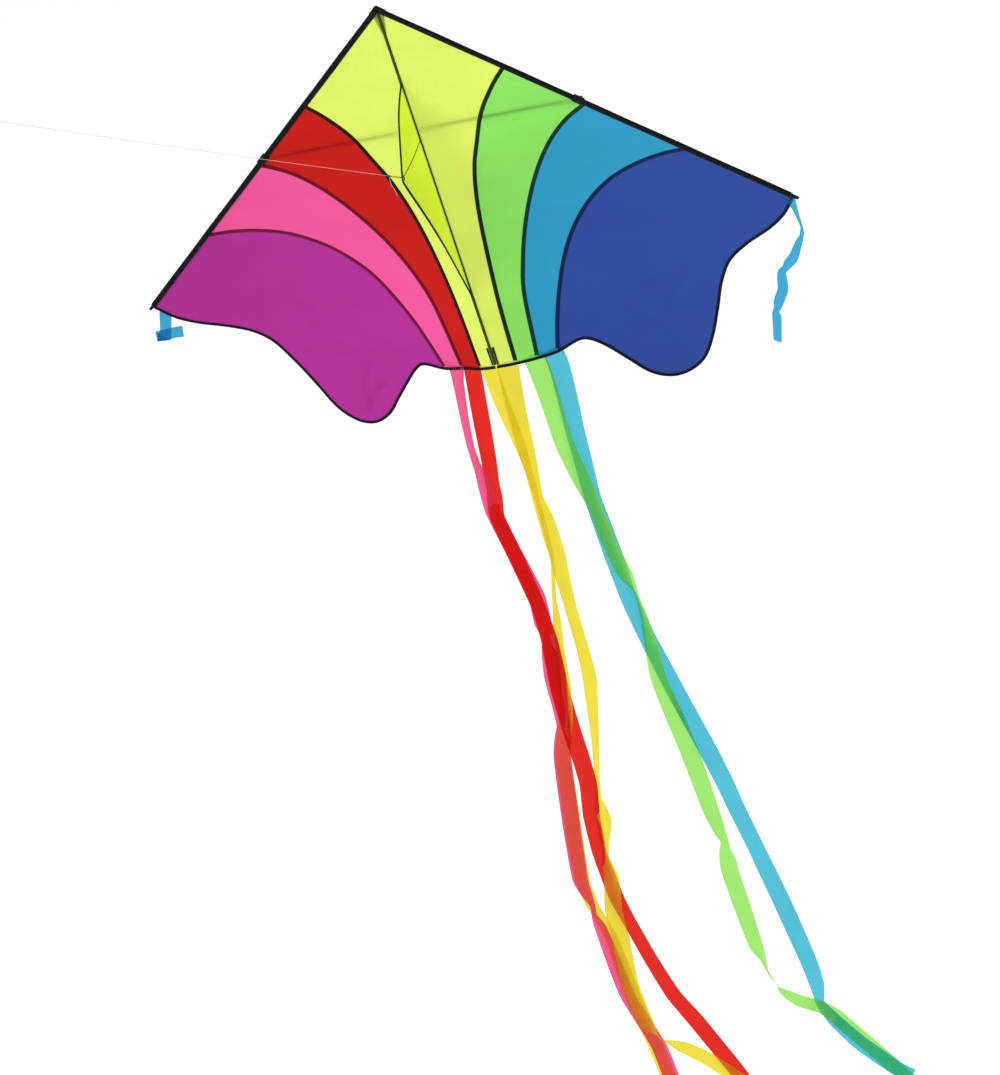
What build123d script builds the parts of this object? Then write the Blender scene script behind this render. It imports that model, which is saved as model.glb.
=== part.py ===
"""A delta kite: two folding wings on a spine, a keel with its line, six tails and two tip streamers.

Millimetres. +Z runs up the spine to the nose, -Y faces the flyer, X is across. Pieces are drawn with the
nose at (0, 0, 0) and the spine rod along X = Y = 0, and are exported with the tow eyelet's centre at the
origin.
"""
from build123d import *
import math
import os

# ---- frame ----
HALF_SPAN = 800.0  # nose to wing tip, across
TIP_DROP = 612.0  # nose to wing tip, down the spine
SPINE_LENGTH = 920.0  # nose to the trailing edge
SPINE_ROD_SHORT = 4.0  # the spine rod stops this far above the trailing edge
ROD_RADIUS = 2.0  # spine and leading edge rods
SPREADER_RADIUS = 2.5
SPREADER_BACK = 8.0  # the spreader's axis behind the sail
CONNECTOR_AT = 0.485  # the connector's place along the leading edge, as a share of it
ROD_FIT = 0.1  # radial room of a rod in its sewn channel
SPREADER_FIT = 0.05  # radial room of the spreader in its connectors
BODY_GAP = 0.6  # between pieces that turn past each other
CUT = 1.0  # how far a cutting shape runs past the face that it cuts
CUT_DEPTH = 5.0  # half the depth of a shape that cuts the cloth

# ---- channels, caps and connectors ----
POCKET_RADIUS = 3.4  # the sewn channel round the spine rod
SLEEVE_WIDTH = 14.0
SLEEVE_HALF_THICK = 3.0
SLEEVE_CORNER = 2.8
NOSE_REACH = 17.0  # the sleeves start this far from the spine's axis
NOSE_PATCH_TOP = 14.0  # half width at the top
NOSE_PATCH_FOOT = 4.0  # half width at the foot
NOSE_PATCH_LENGTH = 54.0
NOSE_PATCH_THICK = 1.0
NOSE_PATCH_RISE = 6.0  # its pointed top, above and below its upper edge
TAIL_POCKET_WIDTH = 20.0
TAIL_POCKET_LENGTH = 50.0
TAIL_POCKET_FRONT = 1.6
TAIL_POCKET_BACK = 4.8
CAP_RADIUS = 4.0
CAP_LENGTH = 18.0
CAP_NOSE = 3.0  # the tapered end
CAP_TAPER = 30.0  # degrees
CAP_FLANGE = 1.4  # the collar at its mouth
CAP_GRIP = 12.0  # the rod's depth in its end cap
CONNECTOR_LENGTH = 26.0
CONNECTOR_WALL = 2.0
STUB_LENGTH = 24.0
STUB_SINK = 16.0  # the spreader's depth in the stub

# ---- cloth ----
CLOTH_HALF = 0.3  # half of the modelled cloth thickness
SPINE_GAP = 5.5  # the wing panels start this far from the spine's axis
TAPE_WIDTH = 8.5
TAPE_THICK = 0.4
HEM_WIDTH = 8.0
HEM_THICK = 0.6
SEAM_STARTS = (0.305, 0.500, 0.742)  # the seams' places along the leading edge
SEAM_RUNS = (
    (
        (205, -226), (160, -284), (128, -352), (102, -415), (80, -505), (64, -620), (52, -760),
        (47, -850),
        (46, -930),
    ),
    (
        (342, -342), (290, -388), (243, -448), (200, -520), (162, -600), (133, -680), (112, -765),
        (100, -850),
        (96, -930),
    ),
    (
        (534, -466), (461, -486), (392, -516), (328, -562), (273, -622), (230, -690), (196, -765),
        (168, -845),
        (143, -925),
    ),
)
TRAILING_EDGE = (
    (798, -622), (766, -652), (722, -682), (655, -712), (602, -752), (566, -812), (536, -885),
    (506, -965),
    (474, -1030), (434, -1066), (390, -1068), (345, -1046), (302, -1000), (264, -950),
    (230, -920), (200, -908),
    (172, -904), (145, -905), (96, -913), (46, -918), (0, -920),
)

# ---- keel ----
KEEL_TOP = 179.0
KEEL_FOOT = 737.0
KEEL_EDGE_GAP = 0.5  # from the spine pocket
KEEL_FRONT = ((-46, -199), (-92, -228), (-138, -278))
KEEL_HEM_WIDTH = 7.0
KEEL_HEM_HALF = 0.8
TOW_DEPTH = 170.0  # the eyelet's centre in front of the spine
TOW_DROP = 334.0  # the eyelet's centre below the nose
TOW_INSET = 10.0  # from the keel's corner to the eyelet's centre, towards the spine
TOW_RISE = 4.0  # how far the eyelet's centre lies above the keel's corner
KEEL_POINT = (-(TOW_DEPTH + TOW_INSET), -(TOW_DROP + TOW_RISE))
EYELET_HOLE = 4.4
EYELET_RIM = 7.0
EYELET_HALF = 1.2

# ---- flying line ----
LINE_RADIUS = 0.5
LINE_AIM = Vector(-0.375, -0.68, 0.513).normalized()
LINE_LENGTH = 1250.0
LOOP_LENGTH = 34.0  # between the two ends of the bridle loop
LOOP_RADIUS = 3.2
LOOP_BITE = 2.0  # from the eyelet's centre to where the loop bears on its rim
LOOP_CORD = 0.8
KNOT_RADIUS = 3.4
END_LOOP_RADIUS = 10.0
TAG_ROUTE = ((0, 0, -3), (-1, -2, -18), (3, -3, -32), (5, -4, -48))  # from the knot's centre

TAG_BEND = 14.0  # the radius of its two bends

# ---- tails and streamers ----
TAIL_WIDTH = 48.0
TAIL_THICK = 0.8
TAIL_HEM_GAP = 0.6  # from the trailing edge to a tail's top
TAIL_PIVOT_DROP = 904.0  # the line that the tails turn about, below the nose
TAIL_TRAIL = 1.43  # degrees that the tails trail back at rest
TAIL_ROUTES = {
    "tail_pink": (3.0, (
        (-110, -890), (-122, -1100), (-134, -1330), (-116, -1600), (-122, -1760), (-160, -2060),
        (-222, -2300),
        (-250, -2560), (-246, -2760), (-228, -3140), (-238, -3400),
    )),
    "tail_red": (6.0, (
        (-63, -890), (-88, -1140), (-122, -1340), (-108, -1630), (-122, -1910), (-156, -2300),
        (-206, -2620),
        (-168, -2830), (-112, -3040), (-50, -3220), (15, -3390),
    )),
    "tail_yellow_left": (9.0, (
        (-30, -890), (-16, -1120), (-24, -1330), (-48, -1520), (-84, -1720), (-150, -2100), (-176, -2500),
        (-200, -2900), (-214, -3180), (-190, -3400),
    )),
    "tail_yellow_right": (12.0, (
        (30, -890), (20, -1140), (8, -1350), (-4, -1520), (-26, -1760), (-66, -2000), (-126, -2230),
        (-158, -2500), (-184, -2800), (-198, -3100), (-140, -3270), (-60, -3370),
    )),
    "tail_green": (3.0, (
        (78, -890), (92, -1160), (120, -1340), (140, -1480), (156, -1640), (152, -1900), (158, -2220),
        (176, -2450), (168, -2680), (196, -2920), (280, -3090), (400, -3270), (470, -3380),
    )),
    "tail_sky_blue": (6.0, (
        (130, -890), (134, -1180), (132, -1400), (146, -1640), (176, -1850), (212, -2060), (244, -2340),
        (284, -2620), (312, -2880), (330, -3080), (410, -3240), (490, -3370),
    )),
}
STREAMER_WIDTH = 27.0
STREAMER_ROUTES = {
    "tip_streamer_left": ((-801, -640), (-803, -680), (-800, -720)),
    "tip_streamer_right": ((801, -640), (800, -720), (766, -800), (734, -880), (700, -990)),
}
STREAMER_BACK = 2.0

LEADING_EDGE = math.hypot(HALF_SPAN, TIP_DROP)
EDGE_ACROSS = HALF_SPAN / LEADING_EDGE
EDGE_DOWN = TIP_DROP / LEADING_EDGE
NODES = {}


def keep(name, shape):
    """Stores a finished piece under its node's name."""
    NODES[name] = shape


def edge_point(along, inward=0.0):
    """A point on the right wing's leading edge line, and moved inward from it, as X and Z."""
    x = EDGE_ACROSS * along - EDGE_DOWN * inward
    z = -EDGE_DOWN * along - EDGE_ACROSS * inward
    return (x, z)


def slab(face, front, back):
    """A flat face drawn in X and Z, made a solid from Y = front to Y = back."""
    placed = Pos(0, front, 0) * (Plane.XZ * face)
    return extrude(placed, amount=back - front, dir=(0, 1, 0))


def unit_normals(points):
    """The left-hand unit normal at each point of a run of points."""
    normals = []
    last = len(points) - 1
    for n in range(len(points)):
        before = points[max(n - 1, 0)]
        after = points[min(n + 1, last)]
        dx = after[0] - before[0]
        dz = after[1] - before[1]
        size = math.hypot(dx, dz)
        normals.append((-dz / size, dx / size))
    return normals


def shifted(points, amount):
    """A run of points moved sideways by amount, to its left."""
    moved = []
    for point, normal in zip(points, unit_normals(points)):
        moved.append((point[0] + normal[0] * amount, point[1] + normal[1] * amount))
    return moved


def band(points, left, right):
    """A flat strip along a smooth run of points, from left of it to right of it."""
    one = shifted(points, left)
    other = shifted(points, -right)
    edges = [
        Spline(*one),
        Line(one[-1], other[-1]),
        Spline(*other),
        Line(other[0], one[0]),
    ]
    return make_face(edges)


def seam_points(which):
    """One seam's run, from outside the leading edge to below the trailing edge."""
    along = SEAM_STARTS[which] * LEADING_EDGE
    runs = SEAM_RUNS[which]
    start = edge_point(along, -SLEEVE_WIDTH / 2)
    return [start, *runs]


def inboard_of(which):
    """A wide flat face on the spine's side of a seam."""
    points = seam_points(which)
    first = points[0]
    last = points[-1]
    edges = [
        Spline(*points),
        Line(last, (last[0], -SPINE_LENGTH * 1.5)),
        Line((last[0], -SPINE_LENGTH * 1.5), (-HALF_SPAN, -SPINE_LENGTH * 1.5)),
        Line((-HALF_SPAN, -SPINE_LENGTH * 1.5), (-HALF_SPAN, HALF_SPAN)),
        Line((-HALF_SPAN, HALF_SPAN), (first[0], HALF_SPAN)),
        Line((first[0], HALF_SPAN), first),
    ]
    return make_face(edges)


def wing_face():
    """The right wing's cloth, from the spine gap to the sleeve's inner edge."""
    inward = SLEEVE_WIDTH / 2
    far = edge_point(LEADING_EDGE * 1.1, inward)
    near = edge_point(-LEADING_EDGE * 0.1, inward)
    below = Polygon(
        near, far, (far[0], -SPINE_LENGTH * 2), (near[0], -SPINE_LENGTH * 2), align=None
    )
    trail = make_face(
        [
            Spline(*TRAILING_EDGE),
            Line(TRAILING_EDGE[-1], (0, HALF_SPAN)),
            Line((0, HALF_SPAN), (HALF_SPAN, HALF_SPAN)),
            Line((HALF_SPAN, HALF_SPAN), TRAILING_EDGE[0]),
        ]
    )
    inner = Pos(SPINE_GAP + HALF_SPAN, 0) * Rectangle(HALF_SPAN * 2, HALF_SPAN * 4)
    return below & trail & inner


def make_wing_cloth():
    """The four panels, three seam tapes and the hem of the right wing, and their mirror images."""
    cloth = slab(wing_face(), -CLOTH_HALF, CLOTH_HALF)
    tape_layer = slab(wing_face(), CLOTH_HALF, CLOTH_HALF + TAPE_THICK)
    hem_layer = slab(wing_face(), CLOTH_HALF, CLOTH_HALF + HEM_THICK)
    sides = [slab(inboard_of(n), -CUT_DEPTH, CUT_DEPTH) for n in range(3)]
    panels = [
        cloth & sides[0],
        (cloth - sides[0]) & sides[1],
        (cloth - sides[1]) & sides[2],
        cloth - sides[2],
    ]
    hem_band = slab(band(TRAILING_EDGE, HEM_WIDTH, HEM_WIDTH), -CUT_DEPTH, CUT_DEPTH)
    hem = hem_layer & hem_band
    tapes = []
    for n in range(3):
        strip = slab(band(seam_points(n), TAPE_WIDTH / 2, TAPE_WIDTH / 2), -CUT_DEPTH, CUT_DEPTH)
        tapes.append((tape_layer & strip) - hem_band)
    names = (
        ("sail_yellow_right", "sail_yellow_left"),
        ("sail_green", "sail_red"),
        ("sail_teal", "sail_pink"),
        ("sail_blue", "sail_purple"),
    )
    for panel, (right, left) in zip(panels, names):
        keep(right, panel)
        keep(left, mirror(panel, about=Plane.YZ))
    places = ("inner", "middle", "outer")
    for tape, place in zip(tapes, places):
        keep(f"seam_tape_{place}_right", tape)
        keep(f"seam_tape_{place}_left", mirror(tape, about=Plane.YZ))
    keep("trailing_hem_right", hem)
    keep("trailing_hem_left", mirror(hem, about=Plane.YZ))


def edge_plane(along):
    """A plane across the right leading edge, with its X inward in the sail and its Z towards the tip."""
    x, z = edge_point(along)
    return Plane(origin=(x, 0, z), x_dir=(-EDGE_DOWN, 0, -EDGE_ACROSS), z_dir=(EDGE_ACROSS, 0, -EDGE_DOWN))


def sleeve_section(grow=0.0):
    """The sleeve's outer section."""
    return RectangleRounded(
        SLEEVE_WIDTH + 2 * grow, 2 * (SLEEVE_HALF_THICK + grow), SLEEVE_CORNER + grow
    )


def beyond(reach):
    """Everything further than reach from the middle plane, on the right."""
    size = HALF_SPAN * 3
    return Pos(reach + size / 2, 0, 0) * Box(size, size, size)


def make_leading_edges():
    """Rod, sleeve, end cap and spreader connector of the right wing, and their mirror images."""
    rod_start = NOSE_REACH / EDGE_ACROSS + SLEEVE_WIDTH
    rod = extrude(edge_plane(rod_start) * Circle(ROD_RADIUS), LEADING_EDGE + CAP_GRIP - rod_start)
    channel = extrude(
        edge_plane(rod_start - CUT) * Circle(ROD_RADIUS + ROD_FIT), LEADING_EDGE + CAP_LENGTH - rod_start
    )
    sleeve = extrude(edge_plane(-SLEEVE_WIDTH) * sleeve_section(), LEADING_EDGE + SLEEVE_WIDTH)
    sleeve = (sleeve & beyond(NOSE_REACH)) - channel

    cap = extrude(edge_plane(LEADING_EDGE) * Circle(CAP_RADIUS), CAP_LENGTH - CAP_NOSE)
    cap = cap + extrude(edge_plane(LEADING_EDGE) * Circle(CAP_RADIUS + CAP_FLANGE), CAP_FLANGE)
    cap_mouth = edge_plane(LEADING_EDGE - CUT)
    cap_end = edge_plane(LEADING_EDGE + CAP_LENGTH - CAP_NOSE)
    cap = cap + extrude(cap_end * Circle(CAP_RADIUS), CAP_NOSE, taper=CAP_TAPER)
    cap = cap - extrude(cap_mouth * Circle(ROD_RADIUS), CAP_GRIP + CUT)

    middle = CONNECTOR_AT * LEADING_EDGE
    start = middle - CONNECTOR_LENGTH / 2
    clip = extrude(edge_plane(start) * sleeve_section(CONNECTOR_WALL), CONNECTOR_LENGTH)
    slot_face = Pos(SLEEVE_WIDTH, 0) * Rectangle(SLEEVE_WIDTH, 2 * (CLOTH_HALF + BODY_GAP))
    slot = extrude(edge_plane(start - CUT) * slot_face, CONNECTOR_LENGTH + 2 * CUT)
    clip = clip - slot
    x, z = edge_point(middle)
    outer_end = x + STUB_LENGTH / 3
    stub_plane = Plane(origin=(outer_end, SPREADER_BACK, z), z_dir=(-1, 0, 0))
    stub = extrude(stub_plane * Circle(SPREADER_RADIUS + SPREADER_FIT + CONNECTOR_WALL), STUB_LENGTH)
    inner_end = outer_end - STUB_LENGTH
    socket_plane = Plane(origin=(inner_end - CUT, SPREADER_BACK, z), z_dir=(1, 0, 0))
    socket = extrude(socket_plane * Circle(SPREADER_RADIUS + SPREADER_FIT), STUB_SINK + 2 * CUT)
    sleeve_room = extrude(edge_plane(start - CUT) * sleeve_section(), CONNECTOR_LENGTH + 2 * CUT)
    connector = (clip + stub) - socket - sleeve_room
    spreader_reach = inner_end + STUB_SINK

    for name, shape in (
        ("leading_edge_rod", rod),
        ("leading_edge_sleeve", sleeve),
        ("tip_end_cap", cap),
        ("spreader_connector", connector),
    ):
        keep(f"{name}_right", shape)
        keep(f"{name}_left", mirror(shape, about=Plane.YZ))

    spreader_plane = Plane(origin=(-spreader_reach, SPREADER_BACK, z), z_dir=(1, 0, 0))
    keep("spreader_rod", extrude(spreader_plane * Circle(SPREADER_RADIUS), 2 * spreader_reach))


def make_spine():
    """The spine rod, its sewn channel, the nose cap and patch, and the tail pocket."""
    top = -NOSE_REACH / 2
    foot = -SPINE_LENGTH
    rod_foot = foot + SPINE_ROD_SHORT
    rod = Pos(0, 0, (top + rod_foot) / 2) * Cylinder(ROD_RADIUS, top - rod_foot)
    keep("spine_rod", rod)

    outer = Pos(0, 0, foot / 2) * Cylinder(POCKET_RADIUS, -foot)
    bore = Pos(0, 0, (top + foot) / 2) * Cylinder(ROD_RADIUS + ROD_FIT, top - foot)
    pocket = outer - bore
    keep_out = extrude(edge_plane(-SLEEVE_WIDTH * 2) * sleeve_section(), NOSE_REACH * 4)
    keep_out = keep_out + mirror(keep_out, about=Plane.YZ)
    keep("spine_pocket", pocket - keep_out)

    core = Box(2 * (NOSE_REACH - BODY_GAP), 4 * NOSE_REACH, 8 * NOSE_REACH)
    half = extrude(edge_plane(0) * sleeve_section(), NOSE_REACH * 4)
    round_top = Rot(90, 0, 0) * Cylinder(SLEEVE_WIDTH / 2, 2 * SLEEVE_HALF_THICK)
    cap = ((half + mirror(half, about=Plane.YZ)) & core) + round_top
    rod_room = Pos(0, 0, top + foot / 2) * Cylinder(ROD_RADIUS + ROD_FIT, -foot)
    cap = cap - rod_room - (pocket - keep_out)
    keep("nose_cap", cap)

    patch_top = -SLEEVE_WIDTH / 2
    patch_face = Polygon(
        (-NOSE_PATCH_TOP, patch_top - NOSE_PATCH_RISE),
        (0, patch_top + NOSE_PATCH_RISE),
        (NOSE_PATCH_TOP, patch_top - NOSE_PATCH_RISE),
        (NOSE_PATCH_FOOT, patch_top - NOSE_PATCH_LENGTH),
        (-NOSE_PATCH_FOOT, patch_top - NOSE_PATCH_LENGTH),
        align=None,
    )
    keep("nose_patch", slab(patch_face, POCKET_RADIUS, POCKET_RADIUS + NOSE_PATCH_THICK))

    depth = TAIL_POCKET_BACK - TAIL_POCKET_FRONT
    pouch = Pos(0, TAIL_POCKET_FRONT + depth / 2, foot + TAIL_POCKET_LENGTH / 2) * Box(
        TAIL_POCKET_WIDTH, depth, TAIL_POCKET_LENGTH
    )
    keep("tail_pocket", pouch - outer)


def keel_points():
    """The keel's front edge, from the spine to the keel's point, as Y and Z."""
    edge = -(POCKET_RADIUS + KEEL_EDGE_GAP)
    return [(edge, -KEEL_TOP), *KEEL_FRONT, KEEL_POINT]


def keel_hem_edges(front):
    """The closed outline of a strip along the keel's front edge, a hem's width inside it."""
    inner = shifted(front, KEEL_HEM_WIDTH)
    outer = shifted(front, -KEEL_HEM_WIDTH)
    return [Spline(*inner), Line(inner[-1], outer[-1]), Spline(*outer), Line(outer[0], inner[0])]


def keel_slab(face, half):
    """A face drawn in Y and Z, made a solid half thick each side of the middle plane."""
    return extrude(Pos(-half, 0, 0) * (Plane.YZ * face), amount=2 * half, dir=(1, 0, 0))


def make_keel():
    """The keel's cloth, its hem and the tow eyelet."""
    edge = -(POCKET_RADIUS + KEEL_EDGE_GAP)
    front = keel_points()
    foot = (edge, -KEEL_FOOT)
    outline = make_face([Spline(*front), Line(front[-1], foot), Line(foot, front[0])])
    eyelet_spot = Pos(-TOW_DEPTH, -TOW_DROP)
    rear = Polygon(
        KEEL_POINT,
        foot,
        (edge, -KEEL_FOOT - SPINE_LENGTH),
        (KEEL_POINT[0] * 2, -KEEL_FOOT - SPINE_LENGTH),
        align=None,
    )
    front_hem = make_face(keel_hem_edges(front)) & outline
    slope = math.hypot(foot[0] - KEEL_POINT[0], foot[1] - KEEL_POINT[1])
    rise = KEEL_HEM_WIDTH * slope / abs(foot[0] - KEEL_POINT[0])
    rear_hem = (Pos(0, rise) * rear) & outline
    hem_face = (front_hem + rear_hem) - eyelet_spot * Circle(EYELET_RIM)
    sheet_face = outline - (front_hem + rear_hem) - eyelet_spot * Circle(EYELET_RIM)
    keep("keel_panel", keel_slab(sheet_face, CLOTH_HALF))
    keep("keel_hem", keel_slab(hem_face, KEEL_HEM_HALF))

    rim = eyelet_spot * (Circle(EYELET_RIM) - Circle(EYELET_HOLE))
    keep("tow_eyelet", keel_slab(rim, EYELET_HALF))


def cord_run(start, end, radius):
    """A straight round cord between two points."""
    span = end - start
    return extrude(Plane(origin=start, z_dir=span) * Circle(radius), span.length)


def make_line():
    """The bridle loop, the knot, the flying line with its end loop, and the line's short tag end."""
    tow = Vector(0, -TOW_DEPTH, -TOW_DROP)
    side = Vector(1, 0, 0)
    across = (side - LINE_AIM * side.dot(LINE_AIM)).normalized()
    loop_start = tow + LINE_AIM * (LOOP_RADIUS + LOOP_BITE)
    loop_plane = Plane(origin=loop_start, x_dir=across, z_dir=across.cross(LINE_AIM))
    slot = SlotOverall(LOOP_LENGTH + 2 * LOOP_RADIUS, 2 * LOOP_RADIUS, rotation=90)
    legs = Pos(0, LOOP_LENGTH / 2) * slot
    path = loop_plane * legs.wire()
    start = path @ 0
    loop = sweep(Plane(origin=start, z_dir=path % 0) * Circle(LOOP_CORD), path=path)
    keep("bridle_loop", loop)

    knot_at = loop_start + LINE_AIM * (LOOP_LENGTH + LOOP_RADIUS)
    line_start = knot_at + LINE_AIM * (KNOT_RADIUS * 0.6)
    line_end = line_start + LINE_AIM * LINE_LENGTH
    line = cord_run(line_start, line_end, LINE_RADIUS)
    keep("flying_line", line)

    tag_points = [knot_at + Vector(*p) for p in TAG_ROUTE]
    tag_path = FilletPolyline(*tag_points, radius=[TAG_BEND, TAG_BEND])
    tag = sweep(Plane(origin=tag_path @ 0, z_dir=tag_path % 0) * Circle(LINE_RADIUS), path=tag_path)
    knot = Pos(knot_at) * Sphere(KNOT_RADIUS)
    keep("line_tag_end", tag - knot)
    keep("line_knot", knot - loop - line)

    ring_plane = Plane(origin=line_end + LINE_AIM * END_LOOP_RADIUS, x_dir=LINE_AIM, z_dir=across)
    ring = ring_plane.location * Torus(END_LOOP_RADIUS, LINE_RADIUS * 1.2)
    keep("line_end_loop", ring - line)


def make_tails():
    """The six tails under the trailing edge, and a streamer under each wing tip."""
    below = shifted(TRAILING_EDGE, TAIL_HEM_GAP)
    right = make_face(
        [
            Spline(*below),
            Line(below[-1], (0, HALF_SPAN)),
            Line((0, HALF_SPAN), (HALF_SPAN, HALF_SPAN)),
            Line((HALF_SPAN, HALF_SPAN), below[0]),
        ]
    )
    sail_room = slab(right, -20, 40)
    sail_room = sail_room + mirror(sail_room, about=Plane.YZ)
    pivot = Axis((0, 0, -TAIL_PIVOT_DROP), (1, 0, 0))
    for name, (back, route) in TAIL_ROUTES.items():
        ribbon = slab(band(route, TAIL_WIDTH / 2, TAIL_WIDTH / 2), back, back + TAIL_THICK) - sail_room
        keep(name, ribbon.rotate(pivot, TAIL_TRAIL))
    for name, route in STREAMER_ROUTES.items():
        ribbon = band(route, STREAMER_WIDTH / 2, STREAMER_WIDTH / 2)
        keep(name, slab(ribbon, STREAMER_BACK, STREAMER_BACK + TAIL_THICK))


def main():
    """Builds every piece and writes it with the tow eyelet's centre at the origin."""
    make_wing_cloth()
    make_leading_edges()
    make_spine()
    make_keel()
    make_line()
    make_tails()
    os.makedirs("parts", exist_ok=True)
    for name, shape in NODES.items():
        placed = Pos(0, TOW_DEPTH, TOW_DROP) * shape
        export_step(placed, f"parts/{name}.step")


main()
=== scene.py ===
"""A delta kite in ripstop nylon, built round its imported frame: sails, keel, line, tails and streamers.

Sizes in the classes are millimetres from the nose, with the spine along Z and the flyer towards -Y, as a
kite maker would chalk them on the cutting table. `at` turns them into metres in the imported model's frame.
"""
import logging
import math
from dataclasses import dataclass
from enum import Enum
from typing import Callable, Sequence

import bpy
import numpy as np
from mathutils import Matrix, Vector


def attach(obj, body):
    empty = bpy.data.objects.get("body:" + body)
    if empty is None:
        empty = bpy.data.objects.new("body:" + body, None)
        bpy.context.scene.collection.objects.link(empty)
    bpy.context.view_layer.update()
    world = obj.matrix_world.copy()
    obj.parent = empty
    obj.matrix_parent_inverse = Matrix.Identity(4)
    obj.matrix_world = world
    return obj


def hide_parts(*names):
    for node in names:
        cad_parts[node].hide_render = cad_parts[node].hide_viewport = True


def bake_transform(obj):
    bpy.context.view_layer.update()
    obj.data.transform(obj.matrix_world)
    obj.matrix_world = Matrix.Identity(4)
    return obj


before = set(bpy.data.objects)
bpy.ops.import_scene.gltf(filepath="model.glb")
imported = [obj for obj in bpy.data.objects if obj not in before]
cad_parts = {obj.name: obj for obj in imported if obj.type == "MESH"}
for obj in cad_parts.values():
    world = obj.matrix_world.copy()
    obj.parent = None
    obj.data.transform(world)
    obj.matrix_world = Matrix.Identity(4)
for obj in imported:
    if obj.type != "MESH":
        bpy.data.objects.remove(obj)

logging.basicConfig(level=logging.INFO, format="%(message)s")
LOG = logging.getLogger("kite")
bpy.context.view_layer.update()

# ---- the kite's own measures ----
MM = 0.001
SPINE_Y = 0.170
NOSE_Z = 0.334
HALF_SPAN = 800.0
TIP_DROP = 612.0
EDGE_LENGTH = math.hypot(HALF_SPAN, TIP_DROP)
ACROSS = HALF_SPAN / EDGE_LENGTH
DOWN = TIP_DROP / EDGE_LENGTH
EDGE_ANGLE = math.atan2(HALF_SPAN, TIP_DROP)
SEAM_STARTS = (0.305, 0.500, 0.742)
SEAM_INNER = (
    (205, -226), (160, -284), (128, -352), (102, -415), (80, -505), (64, -620), (52, -760), (46, -918)
)
SEAM_MIDDLE = (
    (342, -342), (290, -388), (243, -448), (200, -520), (162, -600), (133, -680), (112, -765), (96, -913),
)
SEAM_OUTER = (
    (534, -466), (461, -486), (392, -516), (328, -562), (273, -622), (230, -690), (196, -765), (168, -845),
    (145, -905),
)
TRAIL_LEFT = (
    (799, -616), (766, -660), (722, -692), (655, -724), (602, -756), (562, -798), (530, -864), (500, -943),
    (470, -1014), (432, -1057), (390, -1068), (
        345, -1047
    ), (302, -1001), (264, -960), (230, -926), (200, -912),
    (145, -926), (96, -926), (46, -927), (3, -921),
)
TRAIL_RIGHT = (
    (799, -616), (766, -660), (722, -696), (655, -735), (602, -777), (566, -836), (539, -903), (508, -975),
    (474, -1030), (434, -1056), (390, -1060), (
        345, -1038
    ), (302, -989), (264, -945), (230, -917), (200, -911),
    (145, -928), (96, -930), (46, -927), (3, -921),
)
LOBE_AT, OUTER_AT, MIDDLE_AT, INNER_AT = 9, 16, 17, 18
TOW = (0.0, -170.0, -334.0)
LINE_AIM = Vector((-0.375, -0.68, 0.513)).normalized()
SPINE_FOOT = 921.0
TAIL_TRAIL = 0.025
TAIL_TOP = 904.0


class Side(Enum):
    """The kite's two wings, seen by the flyer."""

    LEFT = -1
    RIGHT = 1

    @property
    def word(self) -> str:
        """The side's name, as nodes and bodies end with it."""
        return self.name.lower()

    @property
    def body(self) -> str:
        """The CAD body of this wing."""
        return f"wing_{self.word}"


def at(x: float, y: float, z: float) -> Vector:
    """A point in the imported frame, in metres, from millimetres measured at the nose."""
    return Vector((x * MM, SPINE_Y + y * MM, NOSE_Z + z * MM))


def ease(value: np.ndarray | float) -> np.ndarray | float:
    """A smooth step from 0 at 0 to 1 at 1."""
    held = np.clip(value, 0.0, 1.0)
    return held * held * (3.0 - 2.0 * held)


PLEATS = (
    (-1.0, (398, -1052), (296, -960), 8.0, 12.0),
    (-1.0, (380, -1020), (330, -900), 5.0, 12.0),
    (-1.0, (512, -842), (262, -944), 6.0, 13.0),
    (-1.0, (470, -760), (240, -872), 4.5, 13.0),
    (-1.0, (560, -640), (400, -760), 3.5, 14.0),
    (1.0, (450, -1000), (300, -820), 2.6, 13.0),
    (1.0, (560, -760), (420, -900), 2.4, 12.0),
)


def billow(x: np.ndarray | float, z: np.ndarray | float, side: float = 1.0) -> np.ndarray | float:
    """How far the wind pushes the sail back, in millimetres.

    Args:
        x: Distance out from the spine.
        z: Height, negative below the nose.
        side: -1 for the left wing and 1 for the right, which flutter a little differently.

    Returns:
        The sail's place behind the plane of its rods.
    """
    reach = np.hypot(x, z)
    turn = np.clip(np.arctan2(np.abs(x), -z) / EDGE_ANGLE, 0.0, 1.0)
    arch = 4.0 * turn * (1.0 - turn)
    depth = 0.0125 + 0.0735 * ease((reach - 340.0) / 380.0)
    slack = ease((reach - 480.0) / 420.0)
    flutter = 2.6 * np.sin(13.0 * turn + 0.0052 * reach + 0.9 * side)
    crimp = 1.1 * np.sin(31.0 * turn - 0.0125 * reach + 2.1 * side)
    pleat = 0.0
    for wing, (x0, z0), (x1, z1), height, half in PLEATS:
        if wing != side:
            continue
        long = math.hypot(x1 - x0, z1 - z0)
        ahead = ((np.abs(x) - x0) * (x1 - x0) + (z - z0) * (z1 - z0)) / long
        across = ((np.abs(x) - x0) * (z1 - z0) - (z - z0) * (x1 - x0)) / long
        bow = across - half * 1.4 * np.sin(math.pi * np.clip(ahead / long, 0.0, 1.0))
        pleat += height * np.exp(-((bow / half) ** 2)) * ease(ahead / 40.0) * ease((long - ahead) / 40.0)
    return arch * (reach * depth + slack * (flutter + crimp)) + pleat


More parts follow.
